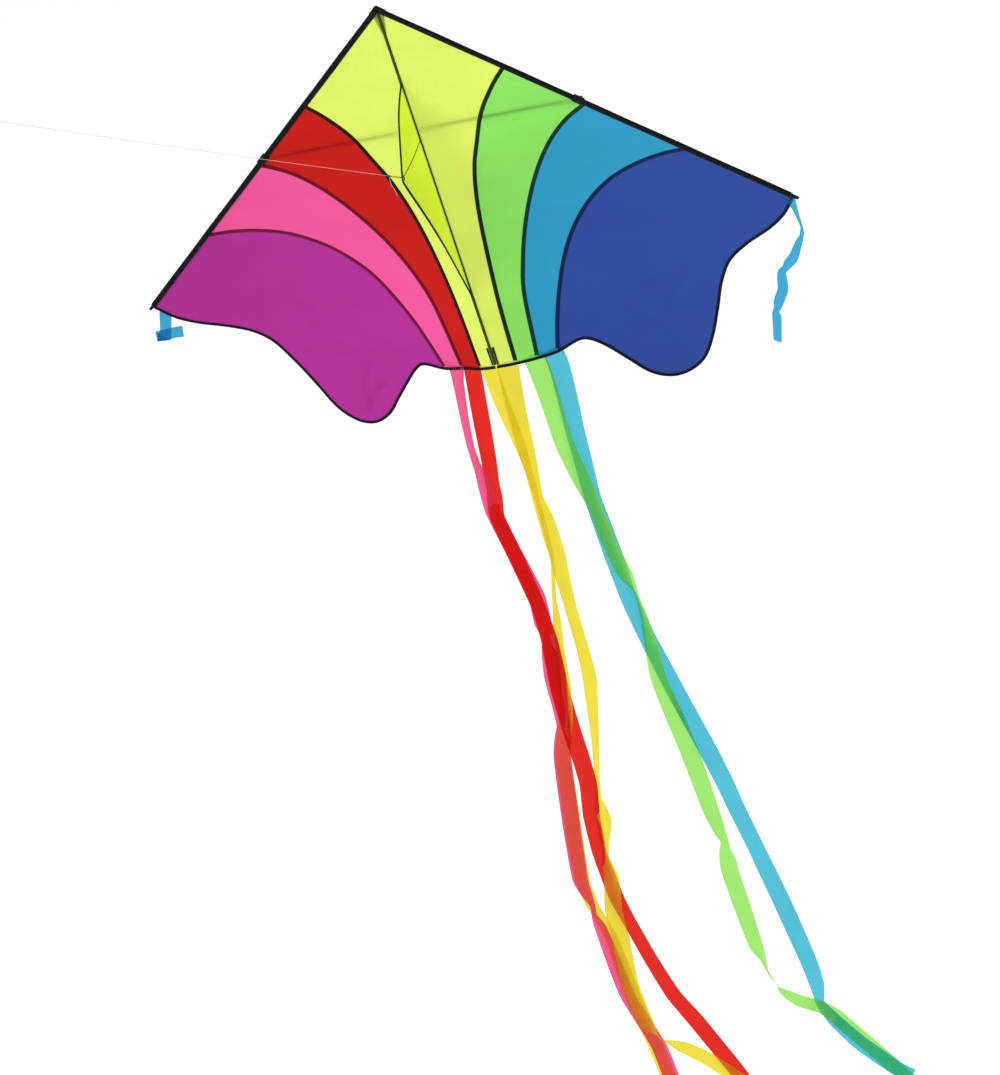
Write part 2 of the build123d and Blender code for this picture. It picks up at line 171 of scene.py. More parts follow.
class Run:
    """A smooth run through a few points, evenly paced along its length."""

    def __init__(self, points: Sequence[Sequence[float]], fine: int = 24, slack: float = 1.0) -> None:
        """Lays the run through the points.

        Args:
            points: The points, each of two or more numbers.
            fine: Steps between two points.
            slack: 1 for full curves, and less for straighter spans with tighter corners.
        """
        knots = np.asarray(points, float)
        if len(knots) == 2:
            knots = np.stack([knots[0], knots.mean(0), knots[1]])
        padded = np.vstack([2 * knots[0] - knots[1], knots, 2 * knots[-1] - knots[-2]])
        lean = slack * (padded[2:] - padded[:-2]) / 2
        t = np.linspace(0.0, 1.0, fine, endpoint=False)[:, None]
        spans = []
        for n in range(len(knots) - 1):
            b, c = knots[n], knots[n + 1]
            spans.append(
                (2 * t**3 - 3 * t**2 + 1) * b + (t**3 - 2 * t**2 + t) * lean[n]
                + (3 * t**2 - 2 * t**3) * c + (t**3 - t**2) * lean[n + 1]
            )
        self.fine = fine
        self.pace(np.vstack(spans + [knots[-1:]]))

    def pace(self, dense: np.ndarray) -> None:
        """Measures the run along its fine points."""
        self.dense = dense
        steps = np.linalg.norm(np.diff(self.dense[:, :3], axis=0), axis=1)
        self.travel = np.concatenate([[0.0], np.cumsum(steps)])
        self.length = float(self.travel[-1])

    def part(self, first: int, last: int) -> "Run":
        """The stretch between two of its points, turned round where the first is the later one."""
        low, high = sorted((first, last))
        cut = object.__new__(Run)
        cut.fine = self.fine
        dense = self.dense[low * self.fine : high * self.fine + 1]
        cut.pace(dense if first < last else dense[::-1])
        return cut

    def sample(self, shares: np.ndarray) -> np.ndarray:
        """Points at shares of the run's length."""
        want = np.asarray(shares) * self.length
        return np.stack(
            [np.interp(want, self.travel, self.dense[:, k]) for k in range(self.dense.shape[1])], axis=1
        )


def edge_point(along: float, inward: float = 0.0) -> tuple[float, float]:
    """A point on the right leading edge's line, and moved inward from it, as x and z."""
    return along * ACROSS - inward * DOWN, -along * DOWN - inward * ACROSS


def coons(start: Run, end: Run, top: Run, foot: Run, wide: int, long: int) -> np.ndarray:
    """A patch between four runs.

    Args:
        start: The side where u is 0, from top to foot.
        end: The side where u is 1, from top to foot.
        top: The side where v is 0, from start to end.
        foot: The side where v is 1, from start to end.
        wide: Points across.
        long: Points from top to foot.

    Returns:
        An array of long by wide points.
    """
    u = np.linspace(0.0, 1.0, wide)
    v = np.linspace(0.0, 1.0, long)
    s, e, t, f = start.sample(v), end.sample(v), top.sample(u), foot.sample(u)
    uu, vv = u[None, :, None], v[:, None, None]
    ruled = (1 - uu) * s[:, None] + uu * e[:, None] + (1 - vv) * t[None] + vv * f[None]
    corners = (1 - uu) * (1 - vv) * t[0] + uu * (1 - vv) * t[-1] + (1 - uu) * vv * f[0] + uu * vv * f[-1]
    return ruled - corners


# ---- mesh helpers ----
def lattice(
    name: str, points: np.ndarray, uv: np.ndarray, closed: bool = False, capped: bool = False
) -> bpy.types.Object:
    """A mesh from rows of points.

    Args:
        name: The piece's name.
        points: Rows by columns by 3, in metres.
        uv: Rows by columns by 2, in metres of cloth; a closed piece has one more column.
        closed: Whether each row joins up with itself.
        capped: Whether the first and last rows are closed with a face.

    Returns:
        The new object.
    """
    rows, columns = points.shape[:2]
    spans = columns if closed else columns - 1
    faces, corners = [], []
    for r in range(rows - 1):
        for c in range(spans):
            d = (c + 1) % columns
            faces.append((r * columns + c, r * columns + d, (r + 1) * columns + d, (r + 1) * columns + c))
            corners.extend((uv[r, c], uv[r, c + 1], uv[r + 1, c + 1], uv[r + 1, c]))
    if capped:
        for r, order in ((0, range(columns - 1, -1, -1)), (rows - 1, range(columns))):
            faces.append(tuple(r * columns + c for c in order))
            corners.extend(uv[r, c] for c in order)
    mesh = bpy.data.meshes.new(name)
    mesh.from_pydata(points.reshape(-1, 3).tolist(), [], faces)
    layer = mesh.uv_layers.new(name="cloth")
    layer.data.foreach_set("uv", np.asarray(corners, float).ravel())
    mesh.polygons.foreach_set("use_smooth", [True] * len(faces))
    mesh.validate()
    mesh.update()
    obj = bpy.data.objects.new(name, mesh)
    bpy.context.scene.collection.objects.link(obj)
    return obj


def cloth_uv(points: np.ndarray) -> np.ndarray:
    """Cloth coordinates in metres, measured along the middle row and the middle column."""
    across = np.linalg.norm(np.diff(points, axis=1), axis=2).mean(0)
    along = np.linalg.norm(np.diff(points, axis=0), axis=2).mean(1)
    u = np.concatenate([[0.0], np.cumsum(across)])
    v = np.concatenate([[0.0], np.cumsum(along)])
    return np.stack(np.meshgrid(u, v), axis=2)


def outward(obj: bpy.types.Object) -> None:
    """Turns a closed piece's faces outwards."""
    bpy.ops.object.select_all(action="DESELECT")
    bpy.context.view_layer.objects.active = obj
    obj.select_set(True)
    bpy.ops.object.mode_set(mode="EDIT")
    bpy.ops.mesh.select_all(action="SELECT")
    bpy.ops.mesh.normals_make_consistent(inside=False)
    bpy.ops.object.mode_set(mode="OBJECT")
    obj.select_set(False)


# ---- finishes ----
class Tree:
    """A material's node tree, filled a node at a time."""

    def __init__(self, name: str) -> None:
        """Starts an empty material with its output."""
        self.material = bpy.data.materials.new(name)
        self.material.use_nodes = True
        self.nodes = self.material.node_tree.nodes
        self.nodes.clear()
        self.output = self.nodes.new("ShaderNodeOutputMaterial")

    def add(self, kind: str, inputs: dict | None = None, **settings: object) -> bpy.types.Node:
        """Adds a node.

        Args:
            kind: The node's type, without its ShaderNode prefix.
            inputs: Values, or sockets to link from, by input name or number.
            **settings: Properties of the node.

        Returns:
            The new node.
        """
        node = self.nodes.new(f"ShaderNode{kind}")
        for key, value in settings.items():
            setattr(node, key, value)
        for key, value in (inputs or {}).items():
            if isinstance(value, bpy.types.NodeSocket):
                self.material.node_tree.links.new(value, node.inputs[key])
            else:
                node.inputs[key].default_value = value
        return node

    def math(self, operation: str, one: object, two: object = 0.0) -> bpy.types.NodeSocket:
        """The result of one operation on two values or sockets."""
        return self.add("Math", {0: one, 1: two}, operation=operation).outputs[0]

    def tint(self, share: object, colour: Sequence[float], other: Sequence[float]) -> bpy.types.NodeSocket:
        """A colour that moves from one to the other with a share."""
        node = self.add("Mix", {"Factor": share}, data_type="RGBA")
        node.inputs[6].default_value = (*colour, 1)
        node.inputs[7].default_value = (*other, 1)
        return node.outputs[2]

    def close(self, shader: bpy.types.Node) -> bpy.types.Material:
        """Links the surface and hands the material over."""
        self.material.node_tree.links.new(shader.outputs[0], self.output.inputs["Surface"])
        return self.material


def linear(red: int, green: int, blue: int) -> tuple[float, float, float]:
    """A dyer's swatch, 0 to 255, as a linear colour."""
    out = []
    for part in (red, green, blue):
        share = part / 255.0
        out.append(share / 12.92 if share <= 0.04045 else ((share + 0.055) / 1.055) ** 2.4)
    return tuple(out)


def shade(colour: Sequence[float], by: float) -> tuple[float, ...]:
    """A colour made darker or lighter by a factor."""
    return tuple(min(1.0, part * by) for part in colour)


@dataclass(frozen=True)
class Nylon:
    """Thin ripstop nylon that glows when light is behind it."""

    name: str
    swatch: tuple[int, int, int]
    glow: float = 0.72
    clear: float = 0.05
    # Strength of the painted shade of crumples and creases in the colour.
    mottle: float = 0.17
    rib_scale: float = 63.0

    def make(self) -> bpy.types.Material:
        """Weave, ripstop ribs and soft crumple over a translucent cloth, with painted shade of crumples and
        creases in its colour.
        """
        t = Tree(self.name)
        base = linear(*self.swatch)
        uv = t.add("UVMap", uv_map="cloth").outputs[0]
        place = t.add("TexCoord").outputs["Object"]
        rib_u = t.add(
            "TexWave", {"Vector": uv, "Scale": self.rib_scale}, bands_direction="X"
        ).outputs["Fac"]
        rib_v = t.add(
            "TexWave", {"Vector": uv, "Scale": self.rib_scale}, bands_direction="Y"
        ).outputs["Fac"]
        ribs = t.math("POWER", t.math("MAXIMUM", rib_u, rib_v), 10.0)
        weave_u = t.add("TexWave", {"Vector": uv, "Scale": 520.0}, bands_direction="X").outputs["Fac"]
        weave_v = t.add("TexWave", {"Vector": uv, "Scale": 520.0}, bands_direction="Y").outputs["Fac"]
        weave = t.math("MULTIPLY", weave_u, weave_v)
        # Painted shade: soft low noise darkens the colour where the cloth's crumples would be shaded.
        soft = t.add(
            "TexNoise", {"Vector": place, "Scale": 7.0, "Detail": 4.0, "Roughness": 0.6}
        ).outputs["Fac"]
        crumple = t.add("TexNoise", {"Vector": place, "Scale": 26.0, "Detail": 3.0}).outputs["Fac"]
        ribs_and_painted_shade = t.math("MULTIPLY", ribs, 0.045)
        ribs_and_painted_shade = t.math("ADD", ribs_and_painted_shade, t.math("MULTIPLY", weave, 0.03))
        # Painted shade: noise drawn out into slanting streaks darkens the colour where creases would be shaded.
        drawn = t.add(
            "Mapping", {"Vector": place, "Rotation": (0.0, 0.55, 0.0), "Scale": (2.4, 2.4, 13.0)}
        ).outputs[0]
        painted_crease_streak = t.add(
            "TexNoise", {"Vector": drawn, "Scale": 1.0, "Detail": 3.0, "Roughness": 0.5}
        ).outputs["Fac"]
        ribs_and_painted_shade = t.math("ADD", ribs_and_painted_shade, t.math("MULTIPLY", soft, self.mottle))
        ribs_and_painted_shade = t.math("ADD", ribs_and_painted_shade, t.math("MULTIPLY", painted_crease_streak, self.mottle * 1.6))
        # From a lighter to a darker copy of the dye: ribs and weave are the cloth's own pattern, the noise and
        # streaks are painted shade.
        colour = t.tint(ribs_and_painted_shade, shade(base, 1.13), shade(base, 0.60))
        height = t.math(
            "ADD", t.math("MULTIPLY", crumple, 6.0), t.math("ADD", ribs, t.math("MULTIPLY", weave, 0.5))
        )
        bump = t.add("Bump", {"Height": height, "Strength": 0.35, "Distance": 0.0006}).outputs[0]
        front = t.add(
            "BsdfPrincipled",
            {
                "Base Color": colour,
                "Roughness": 0.52,
                "Sheen Weight": 0.08,
                "Sheen Roughness": 0.4,
                "Specular IOR Level": 0.2,
                "Normal": bump,
            },
        )
        through = t.add("BsdfTranslucent", {"Color": colour, "Normal": bump})
        cloth = t.add("MixShader", {0: self.glow, 1: front.outputs[0], 2: through.outputs[0]}).outputs[0]
        sheer = t.add("BsdfTransparent", {"Color": colour}).outputs[0]
        return t.close(t.add("MixShader", {0: self.clear, 1: cloth, 2: sheer}))


@dataclass(frozen=True)
class Webbing:
    """Woven tape or binding with a ribbed face and two lines of stitches."""

    name: str
    swatch: tuple[int, int, int]
    thread: tuple[int, int, int]
    width: float
    glow: float = 0.06

    def make(self) -> bpy.types.Material:
        """Cross ribs, stitched dashes near both edges, and worn high spots."""
        t = Tree(self.name)
        base = linear(*self.swatch)
        uv = t.add("UVMap", uv_map="cloth").outputs[0]
        parts = t.add("SeparateXYZ", {0: uv})
        across, along = parts.outputs[0], parts.outputs[1]
        ribs = t.add("TexWave", {"Vector": uv, "Scale": 330.0}, bands_direction="Y").outputs["Fac"]
        fuzz = t.add("TexNoise", {"Vector": uv, "Scale": 900.0, "Detail": 3.0}).outputs["Fac"]
        wear = t.add("TexNoise", {"Vector": uv, "Scale": 22.0, "Detail": 4.0}).outputs["Fac"]
        off = t.math("ABSOLUTE", t.math("SUBTRACT", across, self.width / 2))
        line = t.math("COMPARE", off, self.width * 0.30)
        line.node.inputs[2].default_value = self.width * 0.055
        dash = t.math("GREATER_THAN", t.math("FRACT", t.math("MULTIPLY", along, 1 / 0.0030)), 0.30)
        stitch = t.math("MULTIPLY", line, dash)
        worn = t.math("MULTIPLY", t.math("MULTIPLY", ribs, wear), 0.5)
        ground = t.tint(worn, base, shade(base, 1.9))
        mixed = t.add("Mix", {"Factor": stitch}, data_type="RGBA")
        t.material.node_tree.links.new(ground, mixed.inputs[6])
        mixed.inputs[7].default_value = (*linear(*self.thread), 1)
        height = t.math(
            "ADD", t.math("ADD", ribs, t.math("MULTIPLY", fuzz, 0.6)), t.math("MULTIPLY", stitch, 1.6)
        )
        bump = t.add("Bump", {"Height": height, "Strength": 0.5, "Distance": 0.0003}).outputs[0]
        front = t.add(
            "BsdfPrincipled",
            {
                "Base Color": mixed.outputs[2], "Roughness": 0.8, "Sheen Weight": 0.02,
                "Specular IOR Level": 0.12, "Normal": bump,
            },
        )
        through = t.add("BsdfTranslucent", {"Color": mixed.outputs[2], "Normal": bump})
        return t.close(t.add("MixShader", {0: self.glow, 1: front.outputs[0], 2: through.outputs[0]}))


@dataclass(frozen=True)
class Moulded:
    """Hard plastic, fibreglass or metal, with a fine grain that may run one way."""

    name: str
    swatch: tuple[int, int, int]
    roughness: float
    grain: tuple[float, float, float]
    metal: float = 0.0
    coat: float = 0.0
    bump: float = 0.15

    def make(self) -> bpy.types.Material:
        """Grain in colour, roughness and bump, with scuffs on top."""
        t = Tree(self.name)
        base = linear(*self.swatch)
        place = t.add("TexCoord").outputs["Object"]
        drawn = t.add("Mapping", {"Vector": place, "Scale": self.grain}).outputs[0]
        grain = t.add(
            "TexNoise", {"Vector": drawn, "Scale": 1.0, "Detail": 5.0, "Roughness": 0.6}
        ).outputs["Fac"]
        scuff = t.add("TexNoise", {"Vector": place, "Scale": 160.0, "Detail": 6.0}).outputs["Fac"]
        colour = t.tint(t.math("MULTIPLY", grain, 0.8), shade(base, 0.75), shade(base, 1.7))
        rough = t.math("ADD", t.math("MULTIPLY", scuff, 0.24), self.roughness - 0.12)
        height = t.math("ADD", grain, t.math("MULTIPLY", scuff, 0.4))
        bump = t.add("Bump", {"Height": height, "Strength": self.bump, "Distance": 0.0002}).outputs[0]
        return t.close(
            t.add(
                "BsdfPrincipled",
                {
                    "Base Color": colour,
                    "Roughness": rough,
                    "Specular IOR Level": 0.14,
                    "Metallic": self.metal,
                    "Coat Weight": self.coat,
                    "Coat Roughness": 0.12,
                    "Normal": bump,
                },
            )
        )


@dataclass(frozen=True)
class Braid:
    """Braided cord, its plaits crossing at an angle."""

    name: str
    swatch: tuple[int, int, int]
    scale: float
    clear: float = 0.5

    def make(self) -> bpy.types.Material:
        """Two crossing sets of plaits in bump, with painted shade in the grooves between them and a little painted
        highlight on their crests.
        """
        t = Tree(self.name)
        base = linear(*self.swatch)
        place = t.add("TexCoord").outputs["Object"]
        one = t.add(
            "TexWave", {"Vector": place, "Scale": self.scale, "Distortion": 0.6}, bands_direction="DIAGONAL"
        )
        turned = t.add("Mapping", {"Vector": place, "Rotation": (0.0, 1.2, 0.6)}).outputs[0]
        two = t.add("TexWave", {
            "Vector": turned, "Scale": self.scale, "Distortion": 0.6
        }, bands_direction="DIAGONAL")
        plait = t.math("MAXIMUM", one.outputs["Fac"], two.outputs["Fac"])
        # Painted shade: the colour darkens with the plaits' height in the grooves between plaits, and lightens a
        # little on their crests.
        colour = t.tint(plait, shade(base, 0.62), shade(base, 1.08))
        bump = t.add("Bump", {"Height": plait, "Strength": 0.5, "Distance": 0.0002}).outputs[0]
        cord = t.add("BsdfPrincipled", {"Base Color": colour, "Roughness": 0.6, "Normal": bump}).outputs[0]
        sheer = t.add("BsdfTransparent", {"Color": (0.98, 0.98, 0.98, 1.0)}).outputs[0]
        return t.close(t.add("MixShader", {0: self.clear, 1: cord, 2: sheer}))


CLOTHS = {
    "yellow": Nylon("sail yellow ripstop", (222, 243, 104)),
    "red": Nylon("sail red ripstop", (198, 27, 22)),
    "pink": Nylon("sail pink ripstop", (244, 88, 156)),
    "purple": Nylon("sail purple ripstop", (178, 48, 151)),
    "green": Nylon("sail green ripstop", (140, 226, 98)),
    "teal": Nylon("sail sky blue ripstop", (46, 156, 198)),
    "blue": Nylon("sail blue ripstop", (47, 76, 157)),
    "keel": Nylon("keel yellow ripstop", (216, 240, 64), glow=0.74, clear=0.2),
    "tail_pink": Nylon("tail pink ripstop", (236, 92, 140), clear=0.52),
    "tail_red": Nylon("tail red ripstop", (222, 44, 36), clear=0.52),
    "tail_yellow": Nylon("tail yellow ripstop", (234, 218, 66), clear=0.52),
    "tail_green": Nylon("tail green ripstop", (158, 230, 112), clear=0.52),
    "tail_sky_blue": Nylon("tail sky blue ripstop", (84, 190, 213), clear=0.52),
    "streamer": Nylon("streamer blue ripstop", (66, 166, 210), clear=0.52),
}
# The seam tapes are black; each is coloured as the neighbouring cloth looks darkened where the tape blocks the
# light from behind: painted shade over a real dark tape.
LEFT_SEAMS = (
    Webbing("dark maroon seam binding", (26, 6, 8), (46, 18, 18), 0.0094, glow=0.02),
    Webbing("crimson seam binding", (88, 3, 22), (112, 14, 36), 0.0094, glow=0.03),
    Webbing("dark magenta seam binding", (96, 4, 42), (120, 18, 62), 0.0094, glow=0.03),
)
RIGHT_SEAMS = (
    Webbing("black green seam binding", (8, 34, 12), (26, 56, 26), 0.0094, glow=0.02),
    Webbing("deep green seam binding", (6, 44, 34), (20, 68, 54), 0.0094, glow=0.03),
    Webbing("navy seam binding", (8, 24, 66), (24, 44, 92), 0.0094, glow=0.03),
)
SLEEVE = Webbing("black leading edge sleeve", (9, 9, 12), (34, 33, 38), 0.022)
BINDING = Webbing("black hem binding", (9, 9, 12), (30, 29, 34), 0.0074)
KEEL_BINDING = Webbing("dark green keel binding", (16, 36, 12), (44, 66, 30), 0.0066)
# The fold seam is the keel's yellow darkened: painted shade of the doubled cloth at the fold.
KEEL_SEAM = Webbing("lime keel seam", (132, 152, 30), (150, 170, 48), 0.0026, glow=0.3)
# The spine pocket is yellow cloth; its olive is painted shade, the yellow darkened where the black rod inside
# blocks the light.
POCKET = Webbing("olive spine pocket", (62, 70, 18), (96, 106, 36), 0.020, glow=0.12)
ROD = Moulded("black fibreglass rod", (12, 12, 14), 0.34, (900.0, 900.0, 30.0), coat=0.35)
SPREADER = Moulded("black spreader rod", (12, 12, 14), 0.32, (30.0, 900.0, 900.0), coat=0.35)
PLASTIC = Moulded("black moulded plastic", (11, 11, 13), 0.42, (420.0, 420.0, 420.0))
VINYL = Moulded("black vinyl cap", (10, 10, 12), 0.5, (300.0, 300.0, 300.0), bump=0.25)
EYELET = Moulded("blackened eyelet", (40, 38, 36), 0.34, (500.0, 500.0, 500.0), metal=0.85)
LINE = Braid("pale braided line", (224, 222, 212), 260.0)
LOOP = Braid("black braided loop", (24, 24, 26), 190.0)
MADE: dict[str, bpy.types.Material] = {}


def dress(obj: bpy.types.Object, finish: Nylon | Webbing | Moulded | Braid) -> bpy.types.Object:
    """Puts a finish on a piece."""
    if finish.name not in MADE:
        MADE[finish.name] = finish.make()
    obj.data.materials.clear()
    obj.data.materials.append(MADE[finish.name])
    return obj


# ---- strips that follow the cloth ----
def hugging_strip(
    name: str, run: Run, side: Side, inner: float, outer: float, front: float, back: float, long: int = 140,
    start: float = 0.0, end: float = 1.0,
) -> bpy.types.Object:
    """A flat strip that lies along a run of the sail and follows its billow.

    Args:
        name: The piece's name.
        run: The run that it follows, in x and z on the right wing.
        side: The wing that it's for.
        inner: Its edge on the run's left.
        outer: Its edge on the run's right.
        front: Its front face, from the cloth.
        back: Its back face, from the cloth.
        long: Stations along it.
        start: Where it starts, as a share of the run.
        end: Where it ends.

    Returns:
        A closed strip.
    """
    shares = np.linspace(start, end, long)
    spots = run.sample(shares)
    ahead = np.gradient(spots, axis=0)
    ahead /= np.linalg.norm(ahead, axis=1)[:, None]
    left = np.stack([-ahead[:, 1], ahead[:, 0]], axis=1)
    bulge = 0.35 * (back - front)
    section = (
        (inner, front), ((inner + outer) / 2, front - bulge * 0.4), (outer, front),
        (outer, back), ((inner + outer) / 2, back + bulge), (inner, back),
    )
    rows = np.zeros((long, len(section), 3))
    for k, (across, lift) in enumerate(section):
        flat = spots + left * across
        y = billow(flat[:, 0], flat[:, 1], side.value) + lift
        rows[:, k, 0] = flat[:, 0] * side.value * MM
        rows[:, k, 1] = SPINE_Y + y * MM
        rows[:, k, 2] = NOSE_Z + flat[:, 1] * MM
    width = abs(inner - outer) * MM
    across_uv = np.array([0.0, width / 2, width, width, width / 2, 0.0, 0.0])
    along_uv = shares * run.length * MM
    uv = np.stack(np.meshgrid(across_uv, along_uv), axis=2)
    obj = lattice(name, rows, uv, closed=True, capped=True)
    outward(obj)
    return obj


@dataclass
class Wing:
    """One wing: four cloth panels, three seam tapes, the trailing edge's binding and the leading edge's sleeve."""

    side: Side
    cloths: tuple[str, str, str, str]
    nodes: tuple[str, str, str, str]
    tape_finishes: tuple[Webbing, Webbing, Webbing]
    grids: tuple[tuple[int, int], ...] = ((36, 130), (34, 120), (34, 120), (64, 110))
    nose_gap: float = 8.4
    nose_drop: float = 10.0
    cloth_inset: float = 5.0
    spine_edge: float = 3.0
    tape_half: float = 4.7
    tape_lift: float = 0.6
    binding_width: float = 7.0
    binding_half: float = 1.1
    sleeve_rows: int = 260
    sleeve_start: float = 17.0
    sleeve_stop: float = 1.0

    def seam(self, which: int) -> Run:
        """One seam's run, from the sleeve to the trailing edge."""
        inner = (SEAM_INNER, SEAM_MIDDLE, SEAM_OUTER)[which]
        foot = self.trail_points()[(INNER_AT, MIDDLE_AT, OUTER_AT)[which]]
        return Run((edge_point(SEAM_STARTS[which] * EDGE_LENGTH, self.cloth_inset), *inner[:-1], foot))

    def trail_points(self) -> Sequence[tuple[float, float]]:
        """This wing's points of the trailing edge, from its tip to the spine."""
        return TRAIL_LEFT if self.side is Side.LEFT else TRAIL_RIGHT

    def trail(self) -> Run:
        """The trailing edge, from the wing tip round the lobe to the spine."""
        return Run(self.trail_points())

    def along_edge(self, first: float, last: float) -> Run:
        """The cloth's edge inside the sleeve, between two shares of the leading edge."""
        return Run((edge_point(
            first * EDGE_LENGTH, self.cloth_inset
        ), edge_point(last * EDGE_LENGTH, self.cloth_inset)))

    def hung(self, flat: np.ndarray) -> np.ndarray:
        """A flat lattice in x and z, pushed back by the wind, in metres."""
        x, z = flat[..., 0], flat[..., 1]
        y = billow(x, z, self.side.value)
        return np.stack([x * self.side.value * MM, SPINE_Y + y * MM, NOSE_Z + z * MM], axis=2)

    def panels(self) -> None:
        """The four cloth panels, one sheet each."""
        spine = Run(((self.spine_edge, -self.nose_drop), (self.spine_edge, -SPINE_FOOT)))
        seams = [self.seam(n) for n in range(3)]
        trail, last = self.trail(), len(TRAIL_RIGHT) - 1
        sides = (spine, *seams, trail.part(0, LOBE_AT))
        tops = (self.nose_gap / EDGE_LENGTH, *SEAM_STARTS, 1.0)
        feet = (last, INNER_AT, MIDDLE_AT, OUTER_AT, LOBE_AT)
        shapes = [
            coons(sides[n], sides[n + 1], self.along_edge(
                *tops[n : n + 2]
            ), trail.part(*feet[n : n + 2]), *grid)
            for n, grid in enumerate(self.grids)
        ]
        for flat, cloth, node in zip(shapes, self.cloths, self.nodes):
            spots, cut = self.hung(flat), flat * MM
            if self.side is Side.LEFT:
                spots, cut = spots[:, ::-1], cut[:, ::-1]
            obj = lattice(f"{node}_cloth", spots, cut)
            dress(obj, CLOTHS[cloth])
            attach(obj, self.side.body)
            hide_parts(node)

    def tapes(self) -> None:
        """The three bound seams, and the binding round the trailing edge."""
        for which, place in enumerate(("inner", "middle", "outer")):
            strip = hugging_strip(
                f"tape_{place}_{self.side.word}", self.seam(
                    which
                ), self.side, self.tape_half, -self.tape_half,
                -self.tape_lift, self.tape_lift, end=0.994,
            )
            dress(strip, self.tape_finishes[which])
            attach(strip, self.side.body)
            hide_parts(f"seam_tape_{place}_{self.side.word}")
            LOG.info("%s", strip.name)
        hem = hugging_strip(
            f"binding_{self.side.word}", self.trail(), self.side, self.binding_width, -0.4,
            -self.binding_half, self.binding_half, long=420,
        )
        dress(hem, BINDING)
        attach(hem, self.side.body)
        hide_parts(f"trailing_hem_{self.side.word}")
        LOG.info("%s", hem.name)

    def sleeve(self) -> None:
        """The sewn channel round the leading edge rod: a round bulge, then a flat stitched flange."""
        outline = (
            (-6.3, 0.0), (-5.7, 1.6), (-4.3, 2.6), (
                -2.1, 3.05
            ), (0.4, 2.95), (2.4, 2.2), (3.9, 1.4), (5.4, 1.1),
            (6.8, 1.0), (7.2, 0.0), (6.8, -1.0), (5.4, -1.1), (3.9, -1.4), (2.4, -2.2), (0.4, -2.95), (
                -2.1, -3.05
            ),
            (-4.3, -2.6), (-5.7, -1.6),
        )
        along = np.linspace(self.sleeve_start, EDGE_LENGTH - self.sleeve_stop, self.sleeve_rows)
        rows = np.zeros((self.sleeve_rows, len(outline), 3))
        draw = np.zeros((self.sleeve_rows, len(outline) + 1, 2))
        travel = 0.0
        for k, (inward, lift) in enumerate(outline):
            wave = np.sin(along / 6.1 + 0.7 * self.side.value) * np.sin(along / 17.0)
            pucker = 1.0 + 0.07 * wave + 0.03 * np.sin(along / 2.9)
            inset = inward + 0.22 * np.sin(along / 31.0 + k * 0.2)
            x = along * ACROSS - inset * DOWN
            z = -along * DOWN - inset * ACROSS
            rows[:, k] = np.stack(
                [x * self.side.value * MM, SPINE_Y + lift * pucker * MM, NOSE_Z + z * MM], axis=1
            )
            nearer = outline[(k + 1) % len(outline)]
            draw[:, k] = np.stack([np.full_like(along, travel), along * MM], axis=1)
            travel += math.hypot(nearer[0] - inward, nearer[1] - lift) * MM
        draw[:, -1] = np.stack([np.full_like(along, travel), along * MM], axis=1)
        obj = lattice(f"sleeve_{self.side.word}", rows, draw, closed=True, capped=True)
        outward(obj)
        dress(obj, SLEEVE)
        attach(obj, self.side.body)
        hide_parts(f"leading_edge_sleeve_{self.side.word}")
        LOG.info("%s", obj.name)

    def build(self) -> None:
        """Makes the whole wing."""
        self.panels()
        self.tapes()
        self.sleeve()


